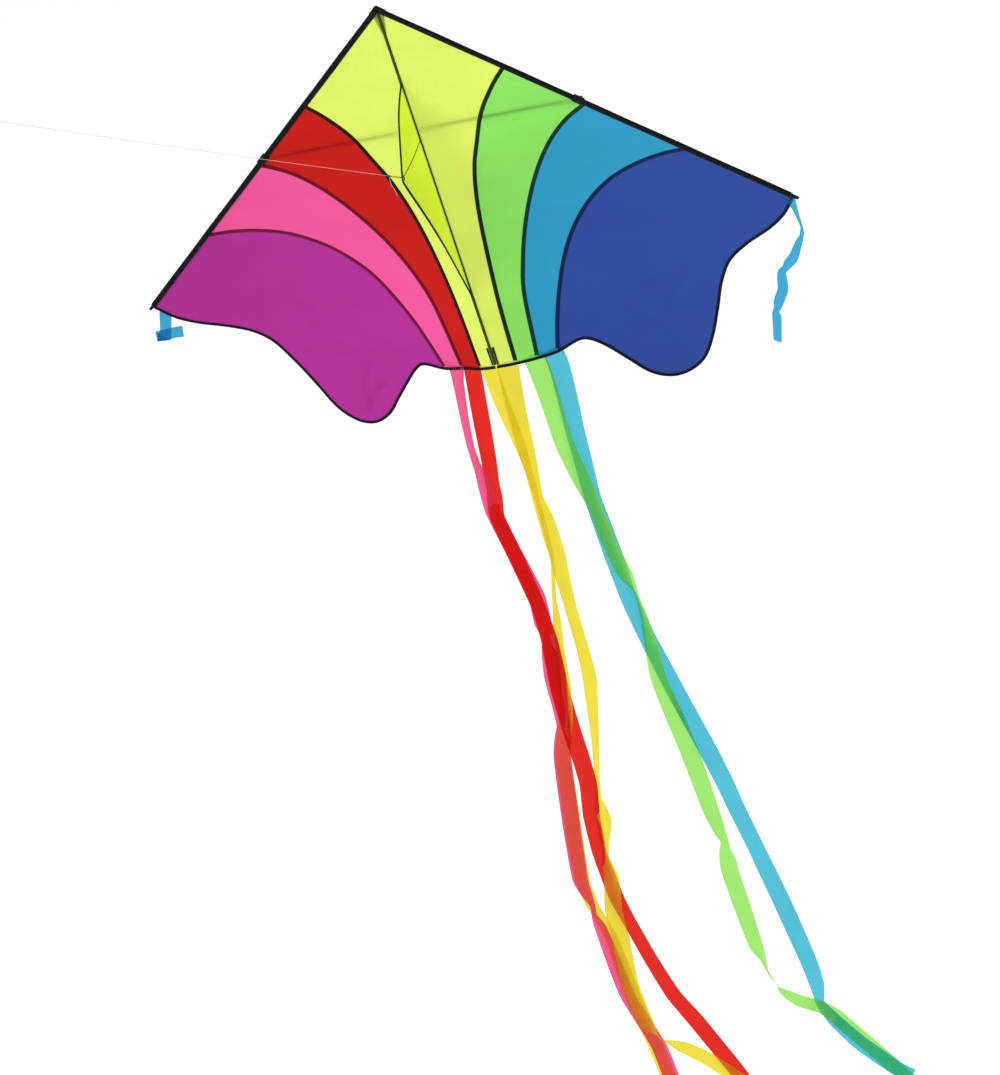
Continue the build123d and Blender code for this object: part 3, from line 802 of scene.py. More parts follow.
@dataclass
class Spine:
    """The sewn channel round the spine rod, the nose patch and the pocket at the rod's lower end."""

    radius: float = 3.4
    top: float = -12.0
    foot: float = -917.0
    rows: int = 260
    around: int = 20

    def pocket(self) -> None:
        """A close tube of cloth with small puckers from its stitching."""
        z = np.linspace(self.top, self.foot, self.rows)
        angle = np.linspace(0.0, 2 * math.pi, self.around, endpoint=False)
        pucker = 1.0 + 0.03 * np.sin(z / 5.3) * np.sin(z / 23.0) + 0.02 * np.sin(z / 2.7)
        ring = (self.radius + 0.1) * pucker[:, None]
        x = ring * np.sin(angle)[None]
        y = ring * np.cos(angle)[None]
        rows = np.stack(
            [x * MM, SPINE_Y + y * MM, np.broadcast_to(NOSE_Z + z[:, None] * MM, x.shape)], axis=2
        )
        around = np.linspace(0.0, 2 * math.pi * self.radius * MM, self.around + 1)
        uv = np.stack(np.meshgrid(around, -z * MM), axis=2)
        obj = lattice("spine_channel", rows, uv, closed=True, capped=True)
        outward(obj)
        dress(obj, POCKET)
        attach(obj, "airframe")
        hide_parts("spine_pocket")
        LOG.info("%s", obj.name)

    def patch(
        self, name: str, node: str, top: float, foot: float, wide: tuple[float, float], lift: float
    ) -> None:
        """A reinforcing patch laid over the back of the spine channel.

        Args:
            name: The piece's name.
            node: The CAD node that it stands for.
            top: Its upper edge.
            foot: Its lower edge.
            wide: Its half widths at the top and the foot.
            lift: How far behind the rods its flat wings lie.
        """
        z = np.linspace(top, foot, 26)
        half = np.linspace(wide[0], wide[1], 26)
        shares = np.linspace(-1.0, 1.0, 17)
        front = np.zeros((26, 17, 3))
        for r in range(26):
            x = shares * half[r]
            rise = lift + (self.radius + 0.6 - lift) * np.exp(-((x / 4.4) ** 4))
            rise += 0.12 * np.sin(z[r] / 2.3 + x / 3.0)
            front[r] = np.stack([x, rise, np.full_like(x, z[r])], axis=1)
        back = front + np.array([0.0, 0.8, 0.0])
        loop = np.concatenate([front, back[:, ::-1]], axis=1) * MM + np.array([0.0, SPINE_Y, NOSE_Z])
        measure = np.concatenate([(shares + 1) * wide[0] * MM, (shares[::-1] + 1) * wide[0] * MM, [0.0]])
        uv = np.stack(np.meshgrid(measure, -z * MM), axis=2)
        obj = lattice(name, loop, uv, closed=True, capped=True)
        outward(obj)
        dress(obj, SLEEVE)
        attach(obj, "airframe")
        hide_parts(node)
        LOG.info("%s", obj.name)

    def build(self) -> None:
        """Makes the channel and both patches."""
        self.pocket()
        self.patch("nose_reinforcement", "nose_patch", -14.0, -62.0, (13.5, 4.2), 1.2)
        self.patch("tail_end_pocket", "tail_pocket", -871.0, -919.0, (10.0, 9.0), 1.6)


@dataclass
class Keel:
    """The keel under the spine: one cloth panel and the binding round its two free edges."""

    top: float = -179.0
    foot: float = -737.0
    root: float = -3.2
    front: tuple[tuple[float, float], ...] = ((-46, -199), (-92, -228), (-138, -278), (-177, -333))
    rear_point: tuple[float, float] = (-179.0, -343.0)
    belly: float = 6.0
    reach: float = 170.0
    cut: tuple[float, float] = (0.176, 0.550)

    def bowed(self, flat: np.ndarray) -> np.ndarray:
        """The keel's flat lattice in y and z, bowed sideways by the wind, in metres."""
        y, z = flat[..., 0], flat[..., 1]
        out = np.clip(-y / self.reach, 0.0, 1.0)
        down = np.clip((self.top - z) / (self.top - self.foot), 0.0, 1.0)
        bow = self.belly * np.sin(math.pi * np.clip(out, 0, 1)) * np.sin(math.pi * down) ** 0.7
        crease = (z + 318.0 - 0.10 * y) / 7.0
        x = bow - 1.6 * np.exp(-(crease**2)) * np.sin(math.pi * out)
        return np.stack([x * MM, SPINE_Y + y * MM, NOSE_Z + z * MM], axis=2)

    def build(self) -> None:
        """Makes the panel and its binding."""
        root = Run(((self.root, self.top - 1.0), (self.root, self.foot + 8.0)))
        front = Run(((self.root, self.top - 1.0), *self.front))
        rear = Run(((self.root, self.foot + 8.0), self.rear_point))
        point = Run((self.front[-1], self.rear_point))
        flat = coons(root, point, front, rear, 60, 90)
        spots = self.bowed(flat)
        panel = lattice("keel_cloth", spots, cloth_uv(spots))
        dress(panel, CLOTHS["keel"])
        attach(panel, "keel")
        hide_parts("keel_panel")
        binding = self.bind(Run(((self.root, self.top - 1.0), *self.front, self.rear_point)), rear)
        seam = self.fold_seam()

    def fold_seam(self) -> bpy.types.Object:
        """The narrow stitched fold that runs from the eyelet to the spine."""
        y = np.linspace(-160.0, self.root - 0.5, 60)
        z = -333.0 + 12.0 * (y + 160.0) / 157.0
        section = ((-1.3, -0.5), (0.0, -0.75), (1.3, -0.5), (1.3, 0.5), (0.0, 0.75), (-1.3, 0.5))
        rows = np.zeros((len(y), len(section), 3))
        for k, (across, lift) in enumerate(section):
            spot = self.bowed(np.stack([y, z + across], axis=1)[:, None])[:, 0]
            spot[:, 0] += lift * MM
            rows[:, k] = spot
        uv = np.stack(
            np.meshgrid(np.array([0.0, 1.3, 2.6, 2.6, 1.3, 0.0, 0.0]) * MM, (y + 160.0) * MM), axis=2
        )
        obj = lattice("keel_fold_seam", rows, uv, closed=True, capped=True)
        outward(obj)
        dress(obj, KEEL_SEAM)
        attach(obj, "keel")
        return obj

    def bind(self, front: Run, rear: Run) -> bpy.types.Object:
        """The folded binding, down the front edge, round the point and back up the rear edge."""
        line = np.vstack([front.sample(np.linspace(0, 1, 120)), rear.sample(np.linspace(0.985, 0, 160))])
        ahead = np.gradient(line, axis=0)
        ahead /= np.linalg.norm(ahead, axis=1)[:, None]
        inward = np.stack([ahead[:, 1], -ahead[:, 0]], axis=1) * -1.0
        section = ((-0.6, -0.6), (2.8, -1.1), (6.2, -0.7), (6.2, 0.7), (2.8, 1.1), (-0.6, 0.6))
        rows = np.zeros((len(line), len(section), 3))
        for k, (across, lift) in enumerate(section):
            flat = line + inward * across
            spot = self.bowed(flat[:, None])[:, 0]
            spot[:, 0] += lift * MM
            rows[:, k] = spot
        travel = np.concatenate([[0.0], np.cumsum(np.linalg.norm(np.diff(line, axis=0), axis=1))]) * MM
        uv = np.stack(np.meshgrid(np.array([0.0, 3.0, 6.0, 6.0, 3.0, 0.0, 0.0]) * MM, travel), axis=2)
        obj = lattice("keel_binding", rows, uv, closed=True, capped=True)
        outward(obj)
        dress(obj, KEEL_BINDING)
        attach(obj, "keel")
        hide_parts("keel_hem")
        LOG.info("%s", obj.name)
        return obj


# ---- tails and streamers ----
@dataclass
class Ribbon:
    """A long strip of cloth: stations give height, middle, depth behind its layer, and turn in degrees."""

    name: str
    cloth: str
    slot: str
    stations: Sequence[tuple[float, float, float, float]]
    wing: Side
    layer: float = 0.0
    width: float = 48.0
    curl: float = 1.6
    slack: float = 0.5
    swept: tuple[float, float] = (0.0, 0.0)
    rows: int = 260
    columns: int = 11
    root: float = 0.0
    phase: float = 0.0
    stitch: float = 1.6
    settle: float = 260.0
    hinge: float = 55.0

    def lie(self, x: np.ndarray, z: np.ndarray) -> np.ndarray:
        """The ribbon's place behind the rods: at its root on the sail, further down in its own layer."""
        trailing = self.layer + TAIL_TRAIL * np.maximum(-z - TAIL_TOP, 0.0)
        if not self.root:
            return np.full_like(x, self.layer)
        sewn = billow(x, np.maximum(z, -self.root), self.wing.value) + self.stitch
        share = ease((-z - self.root) / self.settle)
        return sewn * (1 - share) + trailing * share

    def build(self) -> bpy.types.Object:
        """Makes the ribbon as one sheet and bakes its placement."""
        spots = Run([(x, y, z, turn) for z, x, y, turn in self.stations], fine=40, slack=self.slack)
        share = np.linspace(0.0, 1.0, self.rows)
        path = spots.sample(share)
        middle = path[:, :3].copy()
        ahead = np.gradient(middle, axis=0)
        ahead /= np.linalg.norm(ahead, axis=1)[:, None]
        level = np.cross(ahead, np.array([0.0, 1.0, 0.0]))
        level /= np.linalg.norm(level, axis=1)[:, None]
        away = np.cross(level, ahead)
        turn = np.radians(path[:, 3])[:, None]
        wide = level * np.cos(turn) + away * np.sin(turn)
        face = away * np.cos(turn) - level * np.sin(turn)
        travel = share * spots.length
        s = np.linspace(-1.0, 1.0, self.columns)
        fade = ease(travel / 60.0)
        bend = self.curl * np.sin(travel / 173.0 + self.phase) + 0.8 * np.sin(
            travel / 61.0 + 2 * self.phase
        )
        sway = 1.6 * np.sin(travel / 97.0 + 1.7 * self.phase)
        points = np.zeros((self.rows, self.columns, 3))
        for c, across in enumerate(s):
            push = fade * (bend * (1 - across**2) + sway * across)
            points[:, c] = middle + wide * (across * self.width / 2) + face * push[:, None]
        points[..., 1] += self.lie(points[..., 0], points[..., 2])
        drop = np.maximum(-points[..., 2] - TAIL_TOP, 0.0)
        points[..., 0] -= self.swept[0] * TAIL_TRAIL * drop
        points[..., 2] -= (self.swept[1] + drop / 6500.0) * TAIL_TRAIL * drop
        points = points * MM + np.array([0.0, SPINE_Y, NOSE_Z])
        obj = lattice(f"{self.name}_ribbon", points, cloth_uv(points))
        dress(obj, CLOTHS[self.cloth])
        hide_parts(self.name)
        self.fix(obj)
        return obj

    def fix(self, obj: bpy.types.Object) -> None:
        """Bakes the ribbon's placement into its mesh."""
        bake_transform(obj)


@dataclass
class FoldedStreamer(Ribbon):
    """A streamer folded flat by the wind: it drops, turns over at a slanting crease and runs inward."""

    creases: Sequence[tuple[tuple[float, float, float], tuple[float, float, float]]] = ()

    def build(self) -> bpy.types.Object:
        """Makes the folded strip from its edge pairs, each pair an outer and an inner point."""
        pairs = np.asarray(self.creases, float)
        knots = np.arange(len(pairs))
        fine = np.linspace(0, len(pairs) - 1, self.rows)
        ends = [
            np.stack([np.interp(fine, knots, pairs[:, e, k]) for k in range(3)], axis=1) for e in (0, 1)
        ]
        share = np.linspace(0.0, 1.0, self.columns)[None, :, None]
        points = ends[0][:, None] * (1 - share) + ends[1][:, None] * share
        points[:, :, 1] += self.layer + 0.5 * np.sin(points[:, :, 0] / 7.0)
        points = points * MM + np.array([0.0, SPINE_Y, NOSE_Z])
        obj = lattice(f"{self.name}_ribbon", points, cloth_uv(points))
        dress(obj, CLOTHS[self.cloth])
        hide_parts(self.name)
        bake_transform(obj)
        return obj


SWEPT = (0.34, 0.54)


def tail(
    name: str, wing: Side, layer: float, phase: float, *stations: tuple[float, float, float, float]
) -> Ribbon:
    """One of the six tails, sewn to the binding; the two yellow ones are cut from one cloth."""
    cloth = name.removesuffix(f"_{wing.word}")
    return Ribbon(
        name, cloth, cloth, stations, wing, layer=layer, swept=SWEPT, root=SPINE_FOOT, phase=phase
    )


TAILS = (
    tail(
        "tail_pink", Side.LEFT, 3.0, 0.4,
        (-921, -114, 0, -8), (-960, -120, 0, -34), (-1040, -128, 0, -46), (-1130, -133, 0, -48),
        (-1210, -131, 0, -36), (-1240, -131, 0, -26), (-1330, -132, 3, -4), (-1445, -119, 6, -8),
        (-1590, -99, 7, -8), (-1680, -107, 7, -6), (-1725, -106, 6, -38), (-1770, -114, 5, -8),
        (-1850, -131, 6, -4), (-1950, -140, 6, -14), (-2015, -155, 4, -44), (-2045, -160, 3, -16),
        (-2100, -177, 2, 0), (-2190, -194, 0, 8), (-2350, -222, 0, 8), (-2530, -250, 0, -4),
        (-2600, -246, 0, -30), (-2640, -243, 0, -52), (-2700, -240, 0, -24), (-2960, -233, 0, 0),
        (-3160, -194, 0, 6), (-3300, -190, 0, 10), (-3390, -200, 0, 0),
    ),
    tail(
        "tail_red", Side.LEFT, 6.0, 1.9,
        (-921, -68, 0, 0), (-1010, -80, 0, 0), (-1085, -88, 0, -6), (-1170, -98, 0, -18),
        (-1240, -110, 0, -26), (-1275, -114, 0, -24), (-1340, -127, -2, -20), (-1470, -113, -4, -12),
        (-1620, -100, -4, -12), (-1730, -103, -2, -4), (-1890, -120, -4, 14), (-2020, -126, -4, 20),
        (-2110, -127, -4, 14), (-2200, -132, -4, 8), (-2310, -154, -4, 2), (-2440, -168, -2, -12),
        (-2610, -167, 4, -10), (-2700, -156, 8, -12), (-2840, -134, 10, -4), (-2980, -104, 10, 4),
        (-3080, -64, 8, 12), (-3180, -26, 4, 10), (-3290, 14, 2, 8), (-3370, 36, 0, 0),
    ),
    tail(
        "tail_yellow_left", Side.LEFT, 9.0, 3.1,
        (-921, -22, 0, 0), (-1030, -18, 0, -14), (-1140, -10, 0, -34), (-1230, -10, 0, -50),
        (-1350, -18, 2, -46), (-1450, -24, 2, -48), (-1500, -28, 0, -60), (-1600, -53, 0, -62),
        (-1655, -62, 0, -54), (-1740, -82, 0, -46), (-1870, -106, 2, -34), (-1980, -132, 3, -30),
        (-2100, -178, 4, -14), (-2230, -200, 4, -8), (-2350, -221, 4, -4), (-2440, -236, 3, -6),
        (-2540, -248, 2, -10), (-2620, -244, 0, -14), (-2750, -222, 0, -14), (-2990, -220, 0, -6),
        (-3150, -206, 0, 4), (-3290, -200, 0, 8), (-3380, -194, 0, 0),
    ),
    tail(
        "tail_yellow_right", Side.RIGHT, 12.0, 4.4,
        (-921, 27, 0, 0), (-1045, 12, 0, -4), (-1175, 0, 0, -10), (-1290, -7, 0, -38),
        (-1365, -4, 0, -24), (-1460, -8, 0, -16), (-1550, -16, 0, -26), (-1635, -21, 0, -32),
        (-1775, -26, 0, -26), (-1860, -33, 0, -20), (-1940, -50, 0, -32), (-2075, -78, 0, -54),
        (-2130, -92, 0, -60), (-2230, -113, -6, -62), (-2310, -118, -17, -18), (-2375, -135, -19, -40),
        (-2430, -147, -19, -50), (-2470, -150, -19, -30), (-2520, -154, -19, -14), (-2630, -180, -20, 4),
        (-2750, -190, -20, 12), (-2900, -208, -20, 6), (-3010, -206, -20, 6), (-3080, -200, -20, -8),
        (-3115, -182, -20, -50), (-3135, -160, -20, -30), (-3165, -118, -18, 0), (-3215, -60, -16, 6),
        (-3310, 18, -14, 0),
    ),
    tail(
        "tail_green", Side.RIGHT, 3.0, 5.2,
        (-921, 86, 0, 0), (-960, 93, -2, 4), (-1045, 101, -6, 6), (-1165, 108, -8, 6),
        (-1265, 121, -8, -2), (-1340, 132, -8, -22), (-1450, 139, -8, -22), (-1550, 153, -8, -18),
        (-1590, 162, -8, -44), (-1620, 166, -7, -56), (-1665, 168, -6, -50), (-1780, 161, -5, -24),
        (-1885, 152, -4, -12), (-2020, 163, -2, 8), (-2135, 171, 0, 14), (-2240, 175, 0, 8),
        (-2340, 178, 0, -4), (-2420, 184, 0, -30), (-2450, 187, 0, -44), (-2490, 182, 0, -10),
        (-2540, 177, 0, 4), (-2635, 179, 0, 2), (-2815, 183, 0, -16), (-2870, 188, 0, -48),
        (-2910, 194, 0, -62), (-2950, 208, -2, -56), (-2985, 228, -6, -16), (-3015, 262, -8, 0),
        (-3047, 318, -6, 0), (-3088, 344, 4, 4), (-3128, 362, 10, 6), (-3228, 424, 10, 6),
        (-3310, 474, 10, 4), (-3362, 506, 10, 0),
    ),
    tail(
        "tail_sky_blue", Side.RIGHT, 6.0, 0.9,
        (-921, 132, 0, 0), (-960, 138, 0, 0), (-1060, 140, 0, 6), (-1185, 137, 0, 2), (-1310, 130, 0, -8),
        (-1370, 131, 0, -4), (-1480, 135, 0, 2), (-1590, 138, 0, -8), (-1650, 142, 0, -4),
        (-1750, 154, 0, 0), (-1840, 169, 0, 8), (-1970, 191, 0, 14), (-2135, 221, 0, 16),
        (-2245, 238, 0, 6), (-2325, 247, 0, 4), (-2475, 268, 0, 4), (-2660, 292, 0, 16),
        (-2875, 315, 0, 4), (-2960, 318, 0, -10), (-3015, 312, 0, -36), (-3050, 318, 0, -20),
        (-3110, 342, 0, 0), (-3200, 394, 0, 10), (-3300, 474, 0, 8), (-3330, 512, 0, 0),
    ),
)
STREAMERS = (
    FoldedStreamer(
        "tip_streamer_left", "streamer", "tail_sky_blue", (), Side.LEFT, layer=2.4, width=27.0,
        rows=90, columns=9,
        creases=(
            ((-794, 4.0, -630), (-773, 20.0, -646)), ((-811, 2.0, -679), (-784, 6.0, -687)),
            ((-832, 0.8, -713), (-794, 0.8, -714)), ((-831, 1.6, -711), (-827, 1.6, -685)),
            ((-795, 2.4, -712), (-790, 2.4, -683)), ((-757, 2.0, -711), (-751, 2.0, -681)),
        ),
    ),
    Ribbon(
        "tip_streamer_right", "streamer", "tail_sky_blue", wing=Side.RIGHT, layer=2.4,
        width=25.0, rows=200, columns=7, curl=0.5, phase=2.5,
        stations=(
            (-622, 795, 0, -20), (-650, 799, 0, -44), (
                -698, 804, 0, -56
            ), (-720, 797, 0, -58), (-735, 787, 0, -44),
            (-766, 768, 0, -26), (-781, 750, 0, -40), (
                -791, 741, 0, -62
            ), (-800, 734, 0, -30), (-812, 731, 0, -16),
            (-841, 726, 0, -8), (-872, 708, 0, -26), (
                -888, 700, 0, -60
            ), (-900, 697, 0, -34), (-912, 695, 0, -32),
            (-970, 683, 0, -40),
        ),
    ),
)


# ---- the line ----
@dataclass
class Rigging:
    """The bridle loop at the tow eyelet, its knot, the flying line with its end loop, and the short tag end."""

    line_length: float = 1.25
    line_diameter: float = 0.001
    tag_length: float = 0.046
    knot_exit: float = 2.04
    loop_start: float = 5.2
    loop_length: float = 34.0
    loop_radius: float = 3.2
    cord_radius: float = 0.8
    knot_offset: float = 42.4
    knot_radius: float = 3.4
    end_loop_radius: float = 10.0

    def along(self, distance: float) -> Vector:
        """A point on the line's aim, in millimetres from the tow point."""
        return at(*TOW) + LINE_AIM * (distance * MM)

    def cord_curve(self, name: str, points: Sequence[Vector], radius: float) -> bpy.types.Object:
        """A round cord on one smooth open spline."""
        curve = bpy.data.curves.new(name, "CURVE")
        curve.dimensions = "3D"
        spline = curve.splines.new("NURBS")
        spline.points.add(len(points) - 1)
        for knot, spot in zip(spline.points, points):
            knot.co = (*spot, 1.0)
        spline.order_u = 3
        spline.use_endpoint_u = True
        spline.resolution_u = 12
        curve.bevel_depth = radius
        curve.bevel_resolution = 3
        curve.use_fill_caps = True
        obj = bpy.data.objects.new(name, curve)
        bpy.context.scene.collection.objects.link(obj)
        return obj

    def strands(
        self, name: str, centre: Callable[
            [np.ndarray], np.ndarray
        ], turns: float, radius: float, count: int,
        rows: int, sides: int = 8,
    ) -> bpy.types.Object:
        """Twisted strands round a closed centreline, as one piece.

        Args:
            name: The piece's name.
            centre: Gives points in metres for shares from 0 to 1.
            turns: Whole turns of the twist.
            radius: The cord's radius in millimetres.
            count: How many strands.
            rows: Stations along each.
            sides: Corners round each strand.

        Returns:
            The strands, joined in one mesh.
        """
        share = np.linspace(0.0, 1.0, rows, endpoint=False)
        middle = centre(share)
        ahead = np.roll(middle, -1, axis=0) - np.roll(middle, 1, axis=0)
        ahead /= np.linalg.norm(ahead, axis=1)[:, None]
        hub = middle.mean(0)
        out = middle - hub
        out -= ahead * (out * ahead).sum(1)[:, None]
        out /= np.linalg.norm(out, axis=1)[:, None] + 1e-12
        other = np.cross(ahead, out)
        thick = radius * 0.56 * MM
        verts, faces, corners = [], [], []
        for n in range(count):
            swing = 2 * math.pi * (turns * share + n / count)
            line = middle + (
                out * np.cos(swing)[:, None] + other * np.sin(swing)[:, None]
            ) * (radius * MM - thick)
            first = len(verts)
            for k in range(sides):
                a = 2 * math.pi * k / sides
                verts.extend((line + (out * math.cos(a) + other * math.sin(a)) * thick).tolist())
            for r in range(rows):
                for k in range(sides):
                    s, d = (r + 1) % rows, (k + 1) % sides
                    faces.append(
                        (first + k * rows + r, first + k * rows + s, first + d * rows + s, first + d * rows + r)
                    )
        mesh = bpy.data.meshes.new(name)
        mesh.from_pydata(verts, [], faces)
        mesh.polygons.foreach_set("use_smooth", [True] * len(faces))
        mesh.update()
        obj = bpy.data.objects.new(name, mesh)
        bpy.context.scene.collection.objects.link(obj)
        outward(obj)
        return obj

    def frame_axes(self) -> tuple[Vector, Vector]:
        """Two directions square to the line's aim."""
        across = (Vector((1, 0, 0)) - LINE_AIM * LINE_AIM.x).normalized()
        return across, across.cross(LINE_AIM)

    def bridle(self) -> None:
        """The short loop through the eyelet, a long oval."""
        across, _ = self.frame_axes()
        start = self.along(self.loop_start)
        half = self.loop_length / 2

        def oval(share: np.ndarray) -> np.ndarray:
            """The oval's centreline."""
            a = 2 * math.pi * share
            out = np.sign(np.cos(a)) * np.abs(np.cos(a)) ** 0.55 * half + half
            wide = self.loop_radius * np.sin(a)
            return np.array(start)[None] + (
                np.outer(out, np.array(LINE_AIM)) + np.outer(wide, np.array(across))
            ) * MM

        obj = self.strands("bridle_cord", oval, 14.0, self.cord_radius, 2, 360)
        dress(obj, LOOP)
        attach(obj, "keel")
        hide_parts("bridle_loop")
        LOG.info("%s", obj.name)

    def knot(self) -> None:
        """The overhand knot that ties the line to the loop."""
        across, up = self.frame_axes()
        centre = self.along(self.knot_offset)
        size = self.knot_radius * MM

        def trefoil(share: np.ndarray) -> np.ndarray:
            """The knot's centreline, a trefoil."""
            a = 2 * math.pi * share
            one = (np.sin(a) + 2 * np.sin(2 * a)) / 3.3
            two = (np.cos(a) - 2 * np.cos(2 * a)) / 3.3
            three = -np.sin(3 * a) * 0.5
            spots = np.outer(one, np.array(across)) + np.outer(two, np.array(up)) + np.outer(
                three, np.array(LINE_AIM)
            )
            return np.array(centre)[None] + spots * size * 0.8

        obj = self.strands("bridle_knot", trefoil, 9.0, 0.95, 2, 240)
        dress(obj, LOOP)
        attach(obj, "keel")
        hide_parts("line_knot")
        LOG.info("%s", obj.name)

    def line(self) -> None:
        """The flying line, pulled taut, with its far loop, and the short tag end below the knot."""
        start = self.along(self.knot_offset + self.knot_exit)
        end = start + LINE_AIM * self.line_length
        sag = Vector((0.0, 0.0, -1.0))
        points = [start]
        for share, drop in ((0.03, 0.4), (0.22, 2.6), (0.5, 4.0), (0.78, 2.6), (0.97, 0.4)):
            points.append(start.lerp(end, share) + sag * (drop * MM))
        points.append(end)
        line = self.cord_curve("flying_line_cord", points, self.line_diameter / 2)
        dress(line, LINE)
        across, _ = self.frame_axes()
        hub = end + LINE_AIM * (self.end_loop_radius * MM)

        def ring(share: np.ndarray) -> np.ndarray:
            """The end loop's centreline."""
            a = 2 * math.pi * share
            spots = np.outer(np.cos(a) * 1.0, np.array(LINE_AIM)) + np.outer(
                np.sin(a) * (0.82 - 0.12 * np.cos(a)), np.array(LINE_AIM.cross(across))
            )
            return np.array(hub)[None] + spots * self.end_loop_radius * MM

        loop = self.strands("line_end_ring", ring, 16.0, 0.6, 2, 300)
        dress(loop, LINE)
        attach(loop, "keel")
        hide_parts("line_end_loop")
        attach(line, "keel")
        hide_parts("flying_line")
        centre = self.along(self.knot_offset)
        route = ((0, 0, -3), (-1, -2, -10), (-1, -2, -20), (3, -3, -32), (5, -4, -40), (5, -4, -48))
        tag = self.cord_curve(
            "tag_end_cord", [centre + Vector(p) * MM for p in route], self.line_diameter / 2
        )
        dress(tag, LINE)
        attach(tag, "keel")
        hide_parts("line_tag_end")
        LOG.info("flying line %.2f m, tag end %.3f m", self.line_length, self.tag_length)

    def build(self) -> None:
        """Makes all of the rigging."""
        self.line()
        self.bridle()
        self.knot()


@dataclass
class NoseCap:
    """The black corner that joins both sleeves at the nose: a round boss with an arm down each edge."""

    radius: float = 7.6
    thick: float = 6.6
    arm: float = 21.0
    rounding: float = 2.2

    def bevelled(self) -> None:
        """Rounds every sharp edge of the active piece."""
        bpy.ops.object.mode_set(mode="EDIT")
        bpy.ops.mesh.select_all(action="DESELECT")
        bpy.ops.mesh.edges_select_sharp(sharpness=math.radians(40.0))
        bpy.ops.mesh.bevel(offset=self.rounding * MM, segments=4, affect="EDGES")
        bpy.ops.object.mode_set(mode="OBJECT")

    def build(self) -> None:
        """Makes the boss and both arms, and joins them."""
        pieces = []
        bpy.ops.object.select_all(action="DESELECT")
        bpy.ops.mesh.primitive_cylinder_add(
            vertices=64, radius=self.radius * MM, depth=self.thick * MM, location=(0.0, SPINE_Y, NOSE_Z),
            rotation=(math.pi / 2, 0.0, 0.0),
        )
        self.bevelled()
        pieces.append(bpy.context.object)
        for side in (-1.0, 1.0):
            middle = self.arm / 2
            bpy.ops.object.select_all(action="DESELECT")
            bpy.ops.mesh.primitive_cube_add(
                size=1.0, location=at(side * middle * ACROSS, 0.0, -middle * DOWN),
                rotation=(0.0, side * math.atan2(DOWN, ACROSS), 0.0),
                scale=(self.arm * MM, self.thick * MM, 1.94 * self.radius * MM),
            )
            bpy.ops.object.transform_apply(location=False, rotation=False, scale=True)
            self.bevelled()
            pieces.append(bpy.context.object)
        bpy.ops.object.select_all(action="DESELECT")
        for piece in pieces:
            piece.select_set(True)
        bpy.context.view_layer.objects.active = pieces[0]
        bpy.ops.object.join()
        bpy.ops.object.transform_apply(location=True, rotation=True, scale=True)
        bpy.ops.object.shade_smooth_by_angle(angle=math.radians(35.0))
        obj = bpy.context.object
        obj.name = "nose_corner"
        dress(obj, VINYL)
        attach(obj, "airframe")
        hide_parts("nose_cap")
        LOG.info("%s", obj.name)


def dress_hardware() -> None:
    """Gives the rods, caps, connectors and eyelet that come from the CAD their finishes."""
    finishes = {
        "spine_rod": (ROD, "rod"),
        "leading_edge_rod_left": (ROD, "rod"),
        "leading_edge_rod_right": (ROD, "rod"),
        "spreader_rod": (SPREADER, "rod"),
        "spreader_connector_left": (PLASTIC, "black_plastic"),
        "spreader_connector_right": (PLASTIC, "black_plastic"),
        "tip_end_cap_left": (VINYL, "black_plastic"),
        "tip_end_cap_right": (VINYL, "black_plastic"),
        "tow_eyelet": (EYELET, "eyelet"),
    }
    for node, (finish, slot) in finishes.items():
        dress(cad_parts[node], finish)
        LOG.info("%s dressed", node)


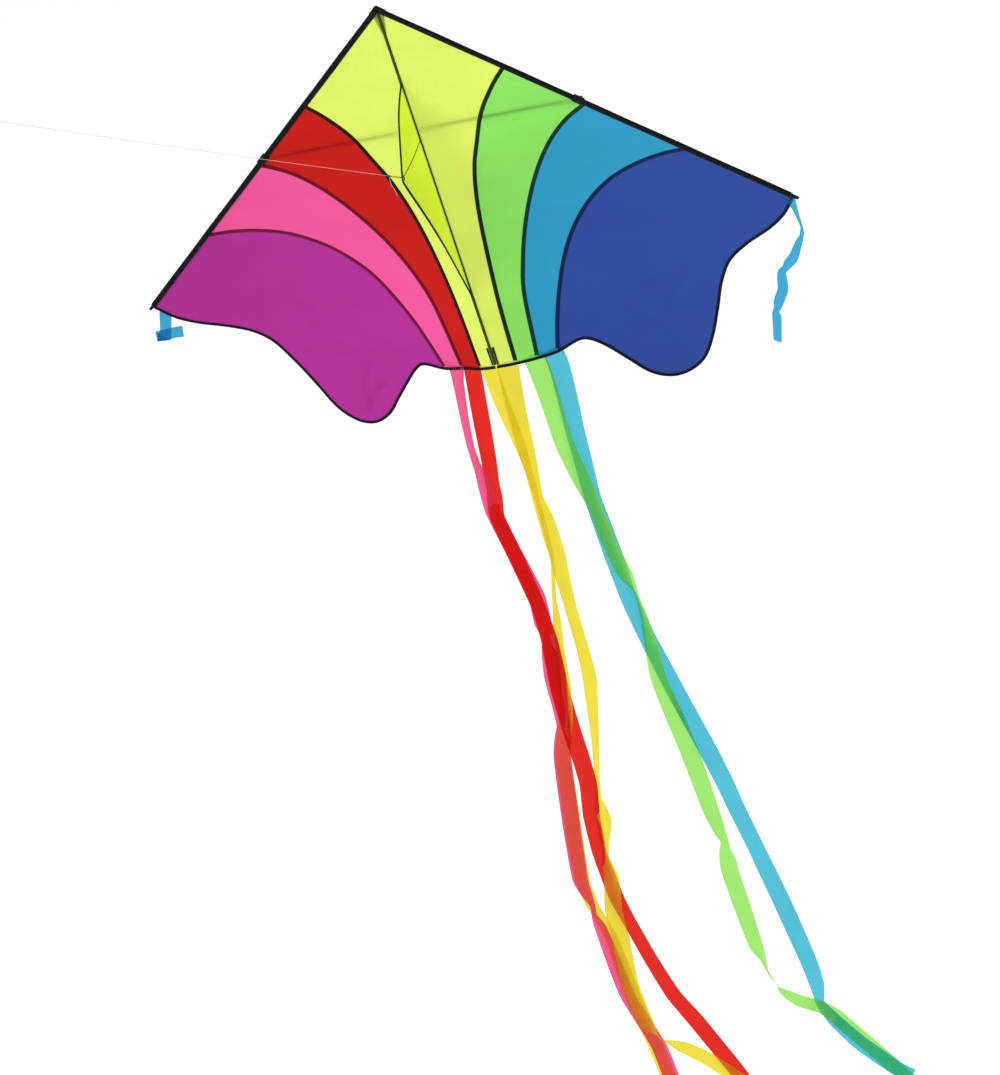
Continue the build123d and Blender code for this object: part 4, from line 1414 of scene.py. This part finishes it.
@dataclass
class Studio:
    """A pale floor far below, a white room, soft lights and the camera."""

    floor_z: float = -7.0
    lens: float = 90.0
    room: float = 0.56
    floor_glow: float = 0.46
    place: tuple[float, float, float] = (1.9937, -4.8507, 2.0074)
    right: tuple[float, float, float] = (0.93256, 0.22059, -0.28579)
    up: tuple[float, float, float] = (0.12096, 0.55496, 0.82304)

    def camera(self) -> None:
        """The camera, held a little rolled."""
        data = bpy.data.cameras.new("camera")
        data.lens = self.lens
        data.sensor_width = 36.0
        data.sensor_fit = "HORIZONTAL"
        data.clip_end = 400.0
        obj = bpy.data.objects.new("camera", data)
        x, y = Vector(self.right).normalized(), Vector(self.up)
        z = x.cross(y).normalized()
        y = z.cross(x)
        turn = Matrix((x, y, z)).transposed().to_4x4()
        obj.matrix_world = Matrix.Translation(self.place) @ turn
        bpy.context.scene.collection.objects.link(obj)
        bpy.context.scene.camera = obj

    def light(self, name: str, place: Vector, aim: Vector, size: float, power: float) -> None:
        """One soft square light."""
        data = bpy.data.lights.new(name, "AREA")
        data.size = size
        data.energy = power
        obj = bpy.data.objects.new(name, data)
        obj.matrix_world = Matrix.Translation(place) @ (
            aim - place
        ).to_track_quat("-Z", "Y").to_matrix().to_4x4()
        bpy.context.scene.collection.objects.link(obj)

    def build(self) -> None:
        """Makes the floor, the room, the lights and the camera."""
        world = bpy.data.worlds.new("room")
        bpy.context.scene.world = world
        world.use_nodes = True
        world.node_tree.nodes["Background"].inputs[0].default_value = (1.0, 1.0, 1.0, 1.0)
        world.node_tree.nodes["Background"].inputs[1].default_value = self.room
        bpy.ops.object.select_all(action="DESELECT")
        bpy.ops.mesh.primitive_plane_add(size=160.0, location=(0.0, 0.0, self.floor_z))
        floor = bpy.context.object
        floor.name = "floor"
        t = Tree("pale floor")
        surface = t.add(
            "BsdfPrincipled",
            {
                "Base Color": (0.95, 0.95, 0.95, 1.0), "Roughness": 0.9, "Specular IOR Level": 0.1,
                "Emission Color": (1.0, 1.0, 1.0, 1.0), "Emission Strength": self.floor_glow,
            },
        )
        floor.data.materials.append(t.close(surface))
        self.light("key", Vector((-3.5, -4.5, 4.0)), Vector((0.0, 0.2, -0.8)), 2.5, 420.0)
        self.light("rim", Vector((3.0, 4.0, 3.0)), Vector((0.0, 0.2, -0.8)), 4.0, 100.0)
        self.camera()
        bpy.context.scene.view_settings.view_transform = "Standard"
        bpy.context.scene.view_settings.look = "None"


def main() -> None:
    """Builds the kite in order, from its line to its tails."""
    Studio().build()
    Rigging().build()
    Wing(
        Side.LEFT, ("yellow", "red", "pink", "purple"), (
            "sail_yellow_left", "sail_red", "sail_pink", "sail_purple"
        ),
        LEFT_SEAMS,
    ).build()
    Wing(
        Side.RIGHT, ("yellow", "green", "teal", "blue"), (
            "sail_yellow_right", "sail_green", "sail_teal", "sail_blue"
        ),
        RIGHT_SEAMS,
    ).build()
    Spine().build()
    Keel().build()
    for ribbon in (*TAILS, *STREAMERS):
        ribbon.build()
    NoseCap().build()
    dress_hardware()


if __name__ == "__main__":
    main()
